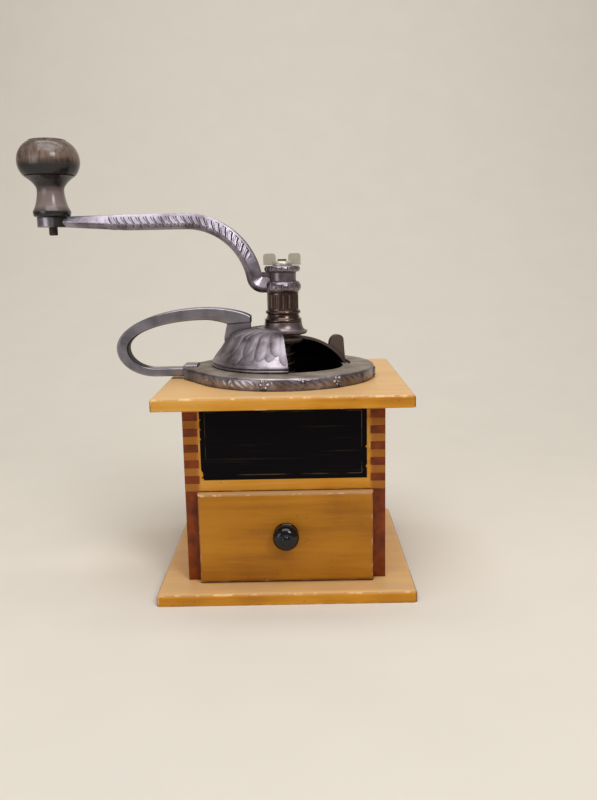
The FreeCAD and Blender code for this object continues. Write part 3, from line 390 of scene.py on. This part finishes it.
def stained_knob(name, tints, centre, low, high):
    """Turned hardwood, stained nearly black and waxed, worn grey brown by hands on its belly and foot,
    which also carry a painted sheen.
    """
    material, tree = new_material(name)
    here = add(tree, "TexCoord")["Object"]
    own = add(tree, "Mapping", {"Vector": here, "Location": (-centre.x, -centre.y, -low)})["Vector"]
    level = add(tree, "SeparateXYZ", {"Vector": own})["Z"]
    share = add(tree, "Math", {0: level, 1: high - low}, operation="DIVIDE")[0]
    # Belly and foot are worn and carry a painted sheen, lightest on the upper belly; the hollow between
    # them and the seat stay black
    worn = add(tree, "ValToRGB", {"Fac": share}, stops=[
        (0.64, grey(0.0)), (0.74, grey(1.0)), (0.84, grey(0.9)), (1.0, grey(0.5))])["Color"]
    foot_wear_and_sheen = add(tree, "ValToRGB", {"Fac": share}, stops=[
        (0.05, grey(0.0)), (0.13, grey(0.9)), (0.31, grey(0.85)), (0.4, grey(0.0))])["Color"]
    stretch = add(tree, "Mapping", {"Vector": own, "Scale": (1.0, 1.0, 0.12)})["Vector"]
    grain = add(tree, "TexNoise", {"Vector": stretch, "Scale": per(1.4), "Detail": 5.0,
                                   "Roughness": 0.65})["Fac"]
    patch = add(tree, "TexNoise", {"Vector": own, "Scale": per(9.0), "Detail": 3.0})["Fac"]
    rubbed = add(tree, "MapRange", {"Value": patch, "From Min": 0.2, "From Max": 0.5})["Result"]
    fibres = add(tree, "MapRange", {"Value": grain, "From Min": 0.35, "From Max": 0.6,
                                    "To Min": 0.45})["Result"]
    rubbed = add(tree, "Math", {0: rubbed, 1: fibres}, operation="MULTIPLY")[0]
    # The worn patches of the belly also carry its painted sheen
    bare = add(tree, "Math", {0: worn, 1: rubbed}, operation="MULTIPLY")[0]
    stain = add(tree, "ValToRGB", {"Fac": grain}, stops=[
        (0.35, tints.lacquer), (0.7, tints.knob_stain)])["Color"]
    body = add(tree, "Mix", {0: bare, 6: stain, 7: tints.knob_wear_and_sheen}, data_type="RGBA")[2]
    body = add(tree, "Mix", {0: foot_wear_and_sheen, 6: body, 7: tints.knob_foot_wear_and_sheen}, data_type="RGBA")[2]
    gloss = add(tree, "MapRange", {"Value": patch, "To Min": 0.14, "To Max": 0.3})["Result"]
    relief = add(tree, "Bump", {"Height": grain, "Strength": 0.2, "Distance": 0.12 * MM})["Normal"]
    close_material(tree, {"Base Color": body, "Roughness": gloss, "IOR": 1.5, "Specular IOR Level": 0.55,
                          "Normal": relief})
    return material


def printed_label(name, tints, sizes, low, high):
    """Black printed paper under varnish: a faint broken gold line, long scratches and chipped edges."""
    material, tree = new_material(name)
    here = add(tree, "TexCoord")["Object"]
    centre = (low + high) / 2
    own = add(tree, "Mapping", {"Vector": here, "Location": -centre})["Vector"]
    spot = add(tree, "SeparateXYZ", {"Vector": own})
    inward = []
    for axis in (0, 2):
        away = add(tree, "Math", {0: spot[axis]}, operation="ABSOLUTE")[0]
        half = (high - low)[axis] / 2
        inward.append(add(tree, "Math", {0: half, 1: away}, operation="SUBTRACT")[0])
    inset = add(tree, "Math", {0: inward[0], 1: inward[1]}, operation="MINIMUM")[0]
    # The border line is broken where the gold has rubbed off
    off_line = add(tree, "Math", {0: inset, 1: sizes.label_line_inset}, operation="SUBTRACT")[0]
    off_line = add(tree, "Math", {0: off_line}, operation="ABSOLUTE")[0]
    line = add(tree, "Math", {0: off_line, 1: sizes.label_line / 2}, operation="LESS_THAN")[0]
    rubbing = add(tree, "TexNoise", {"Vector": own, "Scale": per(26.0), "Detail": 4.0})["Fac"]
    left = add(tree, "MapRange", {"Value": rubbing, "From Min": 0.46, "From Max": 0.62,
                                  "To Max": 0.8})["Result"]
    gold = add(tree, "Math", {0: line, 1: left}, operation="MULTIPLY")[0]
    # Scratches lie along the board, 60 mm long and drawn 0.6 mm wide so that they show
    flat = add(tree, "Mapping", {"Vector": own, "Scale": (0.02, 1.0, 1.0)})["Vector"]
    rake = add(tree, "TexNoise", {"Vector": flat, "Scale": per(1.2), "Detail": 3.0})["Fac"]
    scratch = add(tree, "MapRange", {"Value": rake, "From Min": 0.6, "From Max": 0.74,
                                     "To Max": 0.2})["Result"]
    print_mark = add(tree, "Math", {0: gold, 1: scratch}, operation="MAXIMUM")[0]
    face = add(tree, "Mix", {0: print_mark, 6: tints.label, 7: tints.gold}, data_type="RGBA")[2]
    # Chips about 3 mm across bite up to 2 mm into the edges
    flake = add(tree, "TexNoise", {"Vector": own, "Scale": per(5.0), "Detail": 4.0})["Fac"]
    bite = add(tree, "MapRange", {"Value": flake, "From Min": 0.54, "From Max": 0.75,
                                  "To Max": 2.6 * MM})["Result"]
    chip = add(tree, "Math", {0: inward[0], 1: bite}, operation="LESS_THAN")[0]
    body = add(tree, "Mix", {0: chip, 6: face, 7: tints.shellac}, data_type="RGBA")[2]
    gloss = add(tree, "MapRange", {"Value": rake, "To Min": 0.4, "To Max": 0.6})["Result"]
    relief = add(tree, "Bump", {"Height": rake, "Strength": 0.1, "Distance": 0.05 * MM})["Normal"]
    close_material(tree, {"Base Color": body, "Roughness": gloss, "IOR": 1.5, "Specular IOR Level": 0.06,
                          "Normal": relief})
    return material


def painted_floor(name, tints):
    """Matt painted board: pale, with the faintest mottle."""
    material, tree = new_material(name)
    here = add(tree, "TexCoord")["Object"]
    mottle = add(tree, "TexNoise", {"Vector": here, "Scale": per(60.0), "Detail": 3.0})["Fac"]
    shade = add(tree, "MapRange", {"Value": mottle, "To Min": 0.97, "To Max": 1.03})["Result"]
    tone = add(tree, "VectorMath", {0: tints.floor[:3], "Scale": shade}, operation="SCALE")["Vector"]
    close_material(tree, {"Base Color": tone, "Roughness": 0.9})
    return material


def kept(name, make, *values, **choices):
    """The material of that name, made the first time that it is asked for."""
    return bpy.data.materials.get(name) or make(name, *values, **choices)


def dress(material, *nodes):
    """Gives CAD nodes their finish."""
    for name in nodes:
        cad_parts[name].material_slots[0].material = material


def add_piece(name, bm, material):
    """Makes a finished mesh a piece of the mill."""
    mesh = bpy.data.meshes.new(name)
    bm.to_mesh(mesh)
    bm.free()
    mesh.shade_smooth()
    mesh.set_sharp_from_angle(angle=math.radians(40.0))
    mesh.materials.append(material)
    piece = bpy.data.objects.new(name, mesh)
    bpy.context.scene.collection.objects.link(piece)
    return piece


def surface_of(node):
    """A CAD node's surface, for finding points on it."""
    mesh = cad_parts[node].data
    return BVHTree.FromPolygons([v.co for v in mesh.vertices], [p.vertices for p in mesh.polygons])


def carve(surface, columns, rows, ray, reach, height, sink):
    """A skin of cast relief: a grid laid on a surface along rays, raised as the height says.

    A ray that meets nothing within its reach leaves a gap. The sink is how deep the skin's edges go under
    the surface, and how thick the skin is.
    """
    bm = bmesh.new()
    bmesh.ops.create_grid(bm, x_segments=columns, y_segments=rows, size=0.5)
    plain = set()
    lost = []
    for vertex in bm.verts:
        start, aim = ray(vertex.co.x + 0.5, vertex.co.y + 0.5)
        spot, normal, _, _ = surface.ray_cast(start, aim, reach)
        if spot is None:
            lost.append(vertex)
            continue
        rise = height(spot)
        if rise <= 0.0:
            plain.add(vertex)
        vertex.co = spot + normal * (max(rise, 0.0) - sink)
    bmesh.ops.delete(bm, geom=lost, context="VERTS")
    bare = [f for f in bm.faces if all(v in plain for v in f.verts)]
    bmesh.ops.delete(bm, geom=bare, context="FACES")
    bm.normal_update()
    outward = 0.0
    for face in bm.faces:
        normal = surface.find_nearest(face.calc_center_median())[1]
        outward += normal.dot(face.normal) * face.calc_area()
    if outward < 0.0:
        bmesh.ops.reverse_faces(bm, faces=bm.faces)
    bmesh.ops.solidify(bm, geom=bm.faces, thickness=sink)
    return bm


def fade(value, start, end):
    """Goes smoothly from 0 at start to 1 at end."""
    share = min(max((value - start) / (end - start), 0.0), 1.0)
    return share * share * (3.0 - 2.0 * share)


class MILL_OT_case(bpy.types.Operator):
    """Shellacs the boards and panels of the case"""

    bl_idname = "mill.case"
    bl_label = "Case"

    def execute(self, context):
        tints = context.scene.mill_colours
        shellac = (tints.shellac_dark, tints.shellac, tints.shellac_pale)
        inner_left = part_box("left_side_panel")[1].x
        inner_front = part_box("front_panel")[1].y
        dress(kept("maple_board", shellacked_maple, tints, 0, *shellac), "base_board", "top_board")
        dress(kept("maple_panel_along_x", shellacked_maple, tints, 0, *shellac, corner=-inner_left),
              "front_panel", "back_panel")
        dress(kept("maple_panel_along_y", shellacked_maple, tints, 1, *shellac, corner=-inner_front),
              "left_side_panel", "right_side_panel")
        return {"FINISHED"}


class MILL_OT_drawer(bpy.types.Operator):
    """Finishes the drawer and its black knob"""

    bl_idname = "mill.drawer"
    bl_label = "Drawer"

    def execute(self, context):
        tints = context.scene.mill_colours
        browner = (tints.drawer_dark, tints.drawer_shellac, tints.drawer_pale)
        plain = (tints.shellac_dark, tints.inside_wood, tints.bare_wood_and_sheen)
        dress(kept("drawer_maple_along_x", shellacked_maple, tints, 0, *browner), "drawer_front")
        dress(kept("bare_maple_along_x", shellacked_maple, tints, 0, *plain), "drawer_back", "drawer_floor")
        dress(kept("bare_maple_along_y", shellacked_maple, tints, 1, *plain),
              "drawer_left_side", "drawer_right_side")
        dress(kept("lacquered_wood", black_lacquer, tints), "drawer_knob")
        return {"FINISHED"}


class MILL_OT_label(bpy.types.Operator):
    """Pastes the bare black label on the front panel"""

    bl_idname = "mill.label"
    bl_label = "Label"

    # The paper's edges, which turn by more than this angle in radians, are eased a little
    square_corner = 1.0
    eased = 0.05 * MM

    def execute(self, context):
        tints = context.scene.mill_colours
        sizes = context.scene.mill_sizes
        panel_low, panel_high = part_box("front_panel")
        low = Vector((-sizes.label_left, panel_low.y - sizes.label_thick, panel_low.z + sizes.label_foot))
        high = Vector((sizes.label_right, panel_low.y, panel_high.z - sizes.label_head))
        bm = bmesh.new()
        bmesh.ops.create_grid(bm, x_segments=12, y_segments=6, size=0.5)
        bmesh.ops.rotate(bm, verts=bm.verts, matrix=Matrix.Rotation(math.pi / 2, 3, "X"))
        bmesh.ops.scale(bm, verts=bm.verts, vec=(high.x - low.x, 1.0, high.z - low.z))
        middle = (low + high) / 2
        bmesh.ops.translate(bm, verts=bm.verts, vec=(middle.x, low.y, middle.z))
        bm.normal_update()
        bmesh.ops.solidify(bm, geom=bm.faces, thickness=sizes.label_thick)
        rims = [e for e in bm.edges if e.calc_face_angle(0.0) > self.square_corner]
        bmesh.ops.bevel(bm, geom=rims, offset=self.eased, affect="EDGES", segments=1, profile=0.5,
                        material=-1)
        paper = kept("printed_label", printed_label, tints, sizes, low, high)
        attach(add_piece("label", bm, paper), "mill")
        return {"FINISHED"}


class MILL_OT_hood(bpy.types.Operator):
    """Polishes the hood and lays the cast leaves on it and the rosettes on its rim"""

    bl_idname = "mill.hood"
    bl_label = "Hood"

    # The fans hang from the crown's edge, and the lobes of each spread from a root above it
    crown = 16.6 * MM
    crown_drop = 3.6 * MM
    leaf_step = math.radians(45.0)
    lobe_step = math.radians(15.0)
    root = 9.0 * MM
    # Each row of leaves: its shift in steps, and its shares of the height and of the reach
    leaf_rows = ((0.0, 1.0, 0.9), (0.5, 0.6, 1.0))
    # What the leaves cover, as first angles and sweeps seen from a point low in the hood
    focus_rise = 9.0 * MM
    hood_turns = (math.radians(75.0), math.radians(197.5))
    hood_rises = (math.radians(54.0), math.radians(48.0))
    hood_ray_start = 100 * MM
    # What the rim's ornament covers
    rim_turns = (math.radians(-144.0), math.radians(288.0))
    rim_foot = 0.5 * MM
    rim_tall = 7.2 * MM
    rim_middle = 4.0 * MM
    rim_ray_start = 20 * MM
    # The rim's rosettes, and the slanting leaves and the buds between them
    petals = 6
    eye = 1.2 * MM
    slant = 6.0 * MM
    rim_leaf = 3.3 * MM
    rim_leaf_start = 2.0 * MM
    bud = (2.4 * MM, 3.2 * MM)
    # The film lies on the flange, not on the hood
    film_rise = 9.6 * MM

    def palmette(self, across, down, reach):
        """Height share of one fan: five ridged lobes that spread from a root above, with curled tips."""
        far = math.hypot(across, down + self.root)
        turn = math.atan2(across, down + self.root) / self.lobe_step
        lobe = round(turn)
        if abs(lobe) > 2:
            return 0.0
        ridge = math.cos(math.pi * (turn - lobe))
        # Outer lobes are shorter, and the tips are round
        tip = (reach + self.root) * (1.0 - 0.04 * lobe * lobe) * (0.88 + 0.12 * ridge)
        share = far / tip
        if share >= 1.0:
            return 0.0
        # A lobe swells towards its tip, and a fine groove runs down its middle
        groove = math.exp(-((turn - lobe) * 7.0) ** 2)
        body = ridge ** 0.6 * (0.3 + 0.7 * share ** 1.5) - 0.22 * groove * (1.0 - share)
        return max(0.0, body) * (1.0 - share ** 9) ** 0.5

    def leaf_rise(self, sizes, top, spot):
        """Height of the leaves at a spot: a row of fans, with tips of a lower row between them."""
        radius = math.hypot(spot.x, spot.y)
        down = math.hypot(radius - self.crown, top - spot.z)
        rise = 0.0
        for shift, swell, reach in self.leaf_rows:
            turn = math.atan2(spot.y, spot.x) - sizes.leaf_turn - shift * self.leaf_step
            turn = (turn + self.leaf_step / 2) % self.leaf_step - self.leaf_step / 2
            rise = max(rise, swell * self.palmette(turn * radius, down, sizes.leaf_reach * reach))
        return rise * sizes.leaf_height

    def rim_rise(self, sizes, low, spot):
        """Height of the rim's rosettes, of the buds between them and of the slanting leaves."""
        step = 2 * math.pi / sizes.rosettes
        turn = math.atan2(spot.y, spot.x) - sizes.rosette_turn
        off = (turn + step / 2) % step - step / 2
        around = off * self.rim
        up = spot.z - low - self.rim_middle
        far = math.hypot(around, up)
        swing = math.cos(self.petals * math.atan2(up, around))
        edge = sizes.rosette * (0.85 + 0.15 * swing)
        if far < edge:
            share = far / edge
            eye = max(0.0, 1.0 - (far / self.eye) ** 2)
            petal = (0.72 + 0.28 * swing) * math.sin(math.pi * share ** 1.3) ** 0.5
            return sizes.rosette_height * max(eye, petal)
        span = step * self.rim / 2
        beside = abs(around) - sizes.rosette
        along = (beside + up * (1 if around > 0 else -1)) / self.slant
        lobe = abs(math.sin(math.pi * along)) ** 0.7
        ends = fade(beside, 0.0, self.rim_leaf_start)
        height = max(0.0, 1.0 - (up / self.rim_leaf) ** 2)
        bud = max(0.0, 1.0 - ((span - abs(around)) / self.bud[0]) ** 2 - (up / self.bud[1]) ** 2)
        return max(0.55 * lobe * ends * height, bud) * sizes.rosette_height * 0.7

    def execute(self, context):
        tints = context.scene.mill_colours
        sizes = context.scene.mill_sizes
        low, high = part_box("hopper_casting")
        polish = (polished_iron, tints, tints.iron_dark, tints.iron)
        film_top = low.z + self.film_rise
        dress(kept("filmed_cast_iron", *polish, film_top=film_top), "hopper_casting")
        surface = surface_of("hopper_casting")
        self.rim = high.x
        dome_top = high.z - self.crown_drop
        focus = Vector((0.0, 0.0, low.z + self.focus_rise))

        def hood_ray(around, down):
            turn = self.hood_turns[0] + around * self.hood_turns[1]
            rise = self.hood_rises[0] - down * self.hood_rises[1]
            aim = Vector((math.cos(turn) * math.cos(rise), math.sin(turn) * math.cos(rise), math.sin(rise)))
            return focus + aim * self.hood_ray_start, -aim

        def hood_height(spot):
            return self.leaf_rise(sizes, dome_top, spot)

        bm = carve(surface, columns=460, rows=96, ray=hood_ray, reach=78 * MM,
                   height=hood_height, sink=0.25 * MM)
        worn = kept("worn_cast_iron", *polish, film_top=film_top, matt=(0.48, 0.62))
        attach(add_piece("hood_leaves", bm, worn), "mill")

        def rim_ray(around, up):
            turn = self.rim_turns[0] + around * self.rim_turns[1]
            out = Vector((math.cos(turn), math.sin(turn), 0.0))
            level = Vector((0.0, 0.0, low.z + self.rim_foot + self.rim_tall * up))
            return out * (self.rim + self.rim_ray_start) + level, -out

        def rim_height(spot):
            return self.rim_rise(sizes, low.z, spot)

        bm = carve(surface, columns=760, rows=22, ray=rim_ray, reach=26 * MM,
                   height=rim_height, sink=0.15 * MM)
        sleek = kept("sleek_cast_iron", *polish, film_top=film_top, matt=(0.18, 0.36))
        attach(add_piece("rim_ornament", bm, sleek), "mill")
        return {"FINISHED"}


class MILL_OT_iron_parts(bpy.types.Operator):
    """Polishes the column, the loop handle and the hopper's cover"""

    bl_idname = "mill.iron_parts"
    bl_label = "Column, Handle and Cover"

    def execute(self, context):
        tints = context.scene.mill_colours
        dress(kept("dark_cast_iron", polished_iron, tints, tints.rust, tints.black_iron,
                   matt=(0.12, 0.26), rust=0.45), "bearing_column")
        dress(kept("polished_cast_iron", polished_iron, tints, tints.handle_dark, tints.handle_iron,
                   matt=(0.24, 0.36)), "side_handle")
        dress(kept("dull_cast_iron", polished_iron, tints, tints.patina_dark, tints.iron_dark),
              "hopper_cover")
        return {"FINISHED"}


class MILL_OT_burrs(bpy.types.Operator):
    """Finishes the bowl, the burrs, their bridge, the shaft and the screws"""

    bl_idname = "mill.burrs"
    bl_label = "Bowl and Burrs"

    def execute(self, context):
        tints = context.scene.mill_colours
        dress(kept("raw_cast_iron", raw_iron, tints),
              "hopper_bowl", "grinding_ring", "shaft_bridge", "grinding_cone")
        dress(kept("oiled_steel", turned_steel, tints, tints.oiled_steel, 0.4),
              "drive_shaft", "cone_nut", "spring_washer", "cone_spring", "ring_screws", "bridge_screws",
              "knob_pin")
        dress(kept("turned_steel", turned_steel, tints, tints.steel, 0.28),
              "base_screws", "drawer_knob_screw", "casting_screws", "handle_screw")
        return {"FINISHED"}


class MILL_OT_spring(bpy.types.Operator):
    """Winds the spring that holds the grinding cone down"""

    bl_idname = "mill.spring"
    bl_label = "Spring"

    turn_steps = 36
    wire_sides = 12

    def execute(self, context):
        tints = context.scene.mill_colours
        sizes = context.scene.mill_sizes
        low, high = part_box("cone_spring")
        wire = sizes.spring_wire
        coil = high.x - wire
        climb = high.z - low.z - 2 * wire
        steps = sizes.spring_turns * self.turn_steps
        bm = bmesh.new()
        ring = bmesh.ops.create_circle(bm, cap_ends=True, radius=wire, segments=self.wire_sides)["verts"]
        bmesh.ops.rotate(bm, verts=ring, matrix=Matrix.Rotation(math.pi / 2, 3, "X"))
        bmesh.ops.translate(bm, verts=ring, vec=(coil, 0.0, low.z + wire))
        start = list(bm.faces)
        bmesh.ops.spin(bm, geom=start, cent=(0.0, 0.0, 0.0), axis=(0.0, 0.0, 1.0),
                       dvec=(0.0, 0.0, climb / steps), angle=2 * math.pi * sizes.spring_turns, steps=steps)
        bmesh.ops.recalc_face_normals(bm, faces=bm.faces)
        steel = kept("oiled_steel", turned_steel, tints, tints.oiled_steel, 0.4)
        spring = add_piece("coil_spring", bm, steel)
        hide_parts("cone_spring")
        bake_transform(spring)
        return {"FINISHED"}


class MILL_OT_crank(bpy.types.Operator):
    """Polishes the crank's arm, lays the cast leaves on its sides, and finishes its knob and nut"""

    bl_idname = "mill.crank"
    bl_label = "Crank"

    # The arm's middle line: a straight run at this level, and then a bend of this radius
    bend = 46.5 * MM
    bend_at = -64.7 * MM
    level = 240.1 * MM
    # What the leaves and their lip may cover of it, and how much of that lies before the bend
    covered = 118.0 * MM
    covered_width = 10.4 * MM
    straight = 62.0 * MM
    # Where the leaves fade in and out, from the bend's start along the arm and from its middle line across
    near_end = (-58 * MM, -46 * MM)
    far_end = (44 * MM, 56 * MM)
    leaf_edge = (3.2 * MM, 4.0 * MM)
    # Where the leaves are narrowest, how gently they curl, and half the width of their groove
    leaf_tip = 3.6 * MM
    curl = 9.0 * MM
    groove = 0.4 * MM
    # The lip below the leaves
    lip_at = -4.5 * MM
    lip_half = 0.45 * MM
    lip_end = (-62 * MM, -54 * MM)
    # How far beside the arm the rays start
    beside = 30 * MM

    def along_arm(self, share, across):
        """A point in the arm's middle plane, from the straight run round the bend."""
        run = share * self.covered - self.straight
        if run < 0.0:
            return Vector((self.bend_at + run, 0.0, self.level + across))
        turn = run / self.bend
        reach = self.bend + across
        return Vector((self.bend_at + reach * math.sin(turn), 0.0,
                       self.level - self.bend + reach * math.cos(turn)))

    def leaf_rise(self, sizes, spot):
        """Height of a row of slanting grooved leaves, with a lip below them."""
        if spot.x < self.bend_at:
            run, across = spot.x - self.bend_at, spot.z - self.level
        else:
            out = Vector((spot.x - self.bend_at, spot.z - self.level + self.bend))
            run, across = math.atan2(out.x, out.y) * self.bend, out.length - self.bend
        step = sizes.arm_leaf_step
        half = step * (0.48 - 0.06 * fade(across, 0.0, self.leaf_tip))
        slant = 0.9 * across - across * abs(across) / self.curl
        off = ((run + slant) / step % 1.0 - 0.5) * step
        rise = math.sqrt(max(0.0, 1.0 - (off / half) ** 2)) - 0.3 * math.exp(-(off / self.groove) ** 2)
        ends = fade(run, *self.near_end) * (1.0 - fade(run, *self.far_end))
        edge = 1.0 - fade(abs(across), *self.leaf_edge)
        lip = max(0.0, 1.0 - ((across - self.lip_at) / self.lip_half) ** 2) * fade(run, *self.lip_end)
        return max(rise * ends * edge, 0.8 * lip) * sizes.arm_leaf_height

    def execute(self, context):
        tints = context.scene.mill_colours
        sizes = context.scene.mill_sizes
        polish = (polished_iron, tints, tints.worn_iron, tints.bright_iron)
        iron = kept("bright_cast_iron", *polish)
        dress(kept("smooth_cast_iron", *polish, edge=1.6 * MM, oil=0.3, matt=(0.2, 0.36)), "crank_arm")
        dress(kept("nickel_plate", turned_steel, tints, tints.nickel, 0.3, share=0.7), "wing_nut")
        surface = surface_of("crank_arm")

        def leaf_height(spot):
            return self.leaf_rise(sizes, spot)

        for side, name in ((-1, "arm_leaves_front"), (1, "arm_leaves_back")):
            out = Vector((0.0, side, 0.0))

            def arm_ray(along, across):
                spot = self.along_arm(along, (across - 0.5) * self.covered_width)
                return spot + out * self.beside, -out

            bm = carve(surface, columns=300, rows=30, ray=arm_ray, reach=self.beside,
                       height=leaf_height, sink=0.15 * MM)
            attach(add_piece(name, bm, iron), "crank")
        low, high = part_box("crank_knob")
        dress(kept("stained_knob", stained_knob, tints, (low + high) / 2, low.z, high.z), "crank_knob")
        return {"FINISHED"}


class MILL_OT_stage(bpy.types.Operator):
    """Sets the pale floor, the soft lamps and the camera"""

    bl_idname = "mill.stage"
    bl_label = "Stage"

    # The floor in metres: half its size at first, where its edges are looked for, what is added in front
    floor_half = 2.5
    floor_edge = 2.4
    floor_longer = 8.0
    floor_shift = -1.0
    # How many times wider than that it is, and the wall that it sweeps up into
    floor_wider = 5.0
    wall_height = 3.0
    sweep = 1.2
    room = (0.26, 0.25, 0.24, 1.0)
    # Each lamp's place, what it faces, its sides in metres and its watts
    mill_middle = (0.0, 0.0, 0.15)
    wall_middle = (0.0, 1.3, 0.5)
    lamps = (("ceiling", (0.0, -0.5, 1.35), mill_middle, (1.2, 0.9), 11.0),
             ("key", (0.55, -1.0, 0.9), mill_middle, (0.35, 0.35), 5.0),
             ("fill", (-0.9, -0.9, 0.3), mill_middle, (0.6, 0.6), 2.2),
             ("backdrop", (0.0, 0.3, 1.6), wall_middle, (1.6, 0.5), 8.0))
    # The camera's place, and how far it is turned, tipped down and tilted, in radians
    camera_place = (0.0106, -0.5542, 0.2216)
    camera_turn = 0.002
    camera_tip = 0.1888
    camera_tilt = -0.0189
    camera_lens = 36.0

    def lamp(self, context, name, place, target, size, power):
        """A soft lamp that faces a target."""
        data = bpy.data.lights.new(name, "AREA")
        data.shape = "RECTANGLE"
        data.size, data.size_y = size
        data.energy = power
        lamp = bpy.data.objects.new(name, data)
        lamp.location = place
        lamp.rotation_euler = (Vector(target) - Vector(place)).to_track_quat("-Z", "Y").to_euler()
        context.scene.collection.objects.link(lamp)

    def execute(self, context):
        tints = context.scene.mill_colours
        scene = context.scene
        # A floor that sweeps up behind the mill into a wall, so large that no view meets its edge near by
        bm = bmesh.new()
        bmesh.ops.create_grid(bm, x_segments=2, y_segments=2, size=self.floor_half)
        bmesh.ops.scale(bm, verts=bm.verts, vec=(self.floor_wider, 1.0, 1.0))
        front = [v for v in bm.verts if v.co.y < -self.floor_edge]
        bmesh.ops.translate(bm, verts=front, vec=(0.0, -self.floor_longer, 0.0))
        back = [e for e in bm.edges if all(v.co.y > self.floor_edge for v in e.verts)]
        wall = bmesh.ops.extrude_edge_only(bm, edges=back)["geom"]
        wall = [g for g in wall if isinstance(g, bmesh.types.BMVert)]
        bmesh.ops.translate(bm, verts=wall, vec=(0.0, 0.0, self.wall_height))
        fold = [e for e in bm.edges if all(v.co.y > self.floor_edge and v.co.z < 0.1 for v in e.verts)]
        bmesh.ops.bevel(bm, geom=fold, offset=self.sweep, affect="EDGES", segments=24, profile=0.5,
                        material=-1)
        bmesh.ops.translate(bm, verts=bm.verts, vec=(0.0, self.floor_shift, 0.0))
        mesh = bpy.data.meshes.new("floor")
        bm.to_mesh(mesh)
        bm.free()
        mesh.shade_smooth()
        mesh.materials.append(kept("painted_floor", painted_floor, tints))
        floor = bpy.data.objects.new("floor", mesh)
        scene.collection.objects.link(floor)
        world = bpy.data.worlds.new("room")
        world.use_nodes = True
        scene.world = world
        world.node_tree.nodes["Background"].inputs["Color"].default_value = self.room
        for values in self.lamps:
            self.lamp(context, *values)
        data = bpy.data.cameras.new("camera")
        data.lens = self.camera_lens
        data.sensor_width = 36.0
        camera = bpy.data.objects.new("camera", data)
        camera.matrix_world = (Matrix.Translation(self.camera_place)
                               @ Matrix.Rotation(self.camera_turn, 4, "Z")
                               @ Matrix.Rotation(math.pi / 2 - self.camera_tip, 4, "X")
                               @ Matrix.Rotation(self.camera_tilt, 4, "Z"))
        scene.collection.objects.link(camera)
        scene.camera = camera
        scene.view_settings.view_transform = "Standard"
        return {"FINISHED"}


OPERATORS = (MILL_OT_stage, MILL_OT_case, MILL_OT_drawer, MILL_OT_label, MILL_OT_hood,
             MILL_OT_iron_parts, MILL_OT_burrs, MILL_OT_spring, MILL_OT_crank)


class MILL_PT_panel(bpy.types.Panel):
    """Lists the steps that dress the mill"""

    bl_idname = "MILL_PT_panel"
    bl_label = "Coffee Mill"
    bl_space_type = "VIEW_3D"
    bl_region_type = "UI"
    bl_category = "Mill"

    def draw(self, context):
        for operator in OPERATORS:
            self.layout.operator(operator.bl_idname)


CLASSES = (MillColours, MillSizes, *OPERATORS, MILL_PT_panel)


def register():
    """Adds the classes and the scene's settings."""
    for item in CLASSES:
        bpy.utils.register_class(item)
    bpy.types.Scene.mill_colours = PointerProperty(type=MillColours)
    bpy.types.Scene.mill_sizes = PointerProperty(type=MillSizes)


def unregister():
    """Takes the settings and the classes away again."""
    del bpy.types.Scene.mill_sizes
    del bpy.types.Scene.mill_colours
    for item in reversed(CLASSES):
        bpy.utils.unregister_class(item)


def main():
    """Dresses the mill step by step."""
    register()
    bpy.ops.mill.stage()
    bpy.ops.mill.case()
    bpy.ops.mill.drawer()
    bpy.ops.mill.label()
    bpy.ops.mill.hood()
    bpy.ops.mill.iron_parts()
    bpy.ops.mill.burrs()
    bpy.ops.mill.spring()
    bpy.ops.mill.crank()


if __name__ == "__main__":
    main()
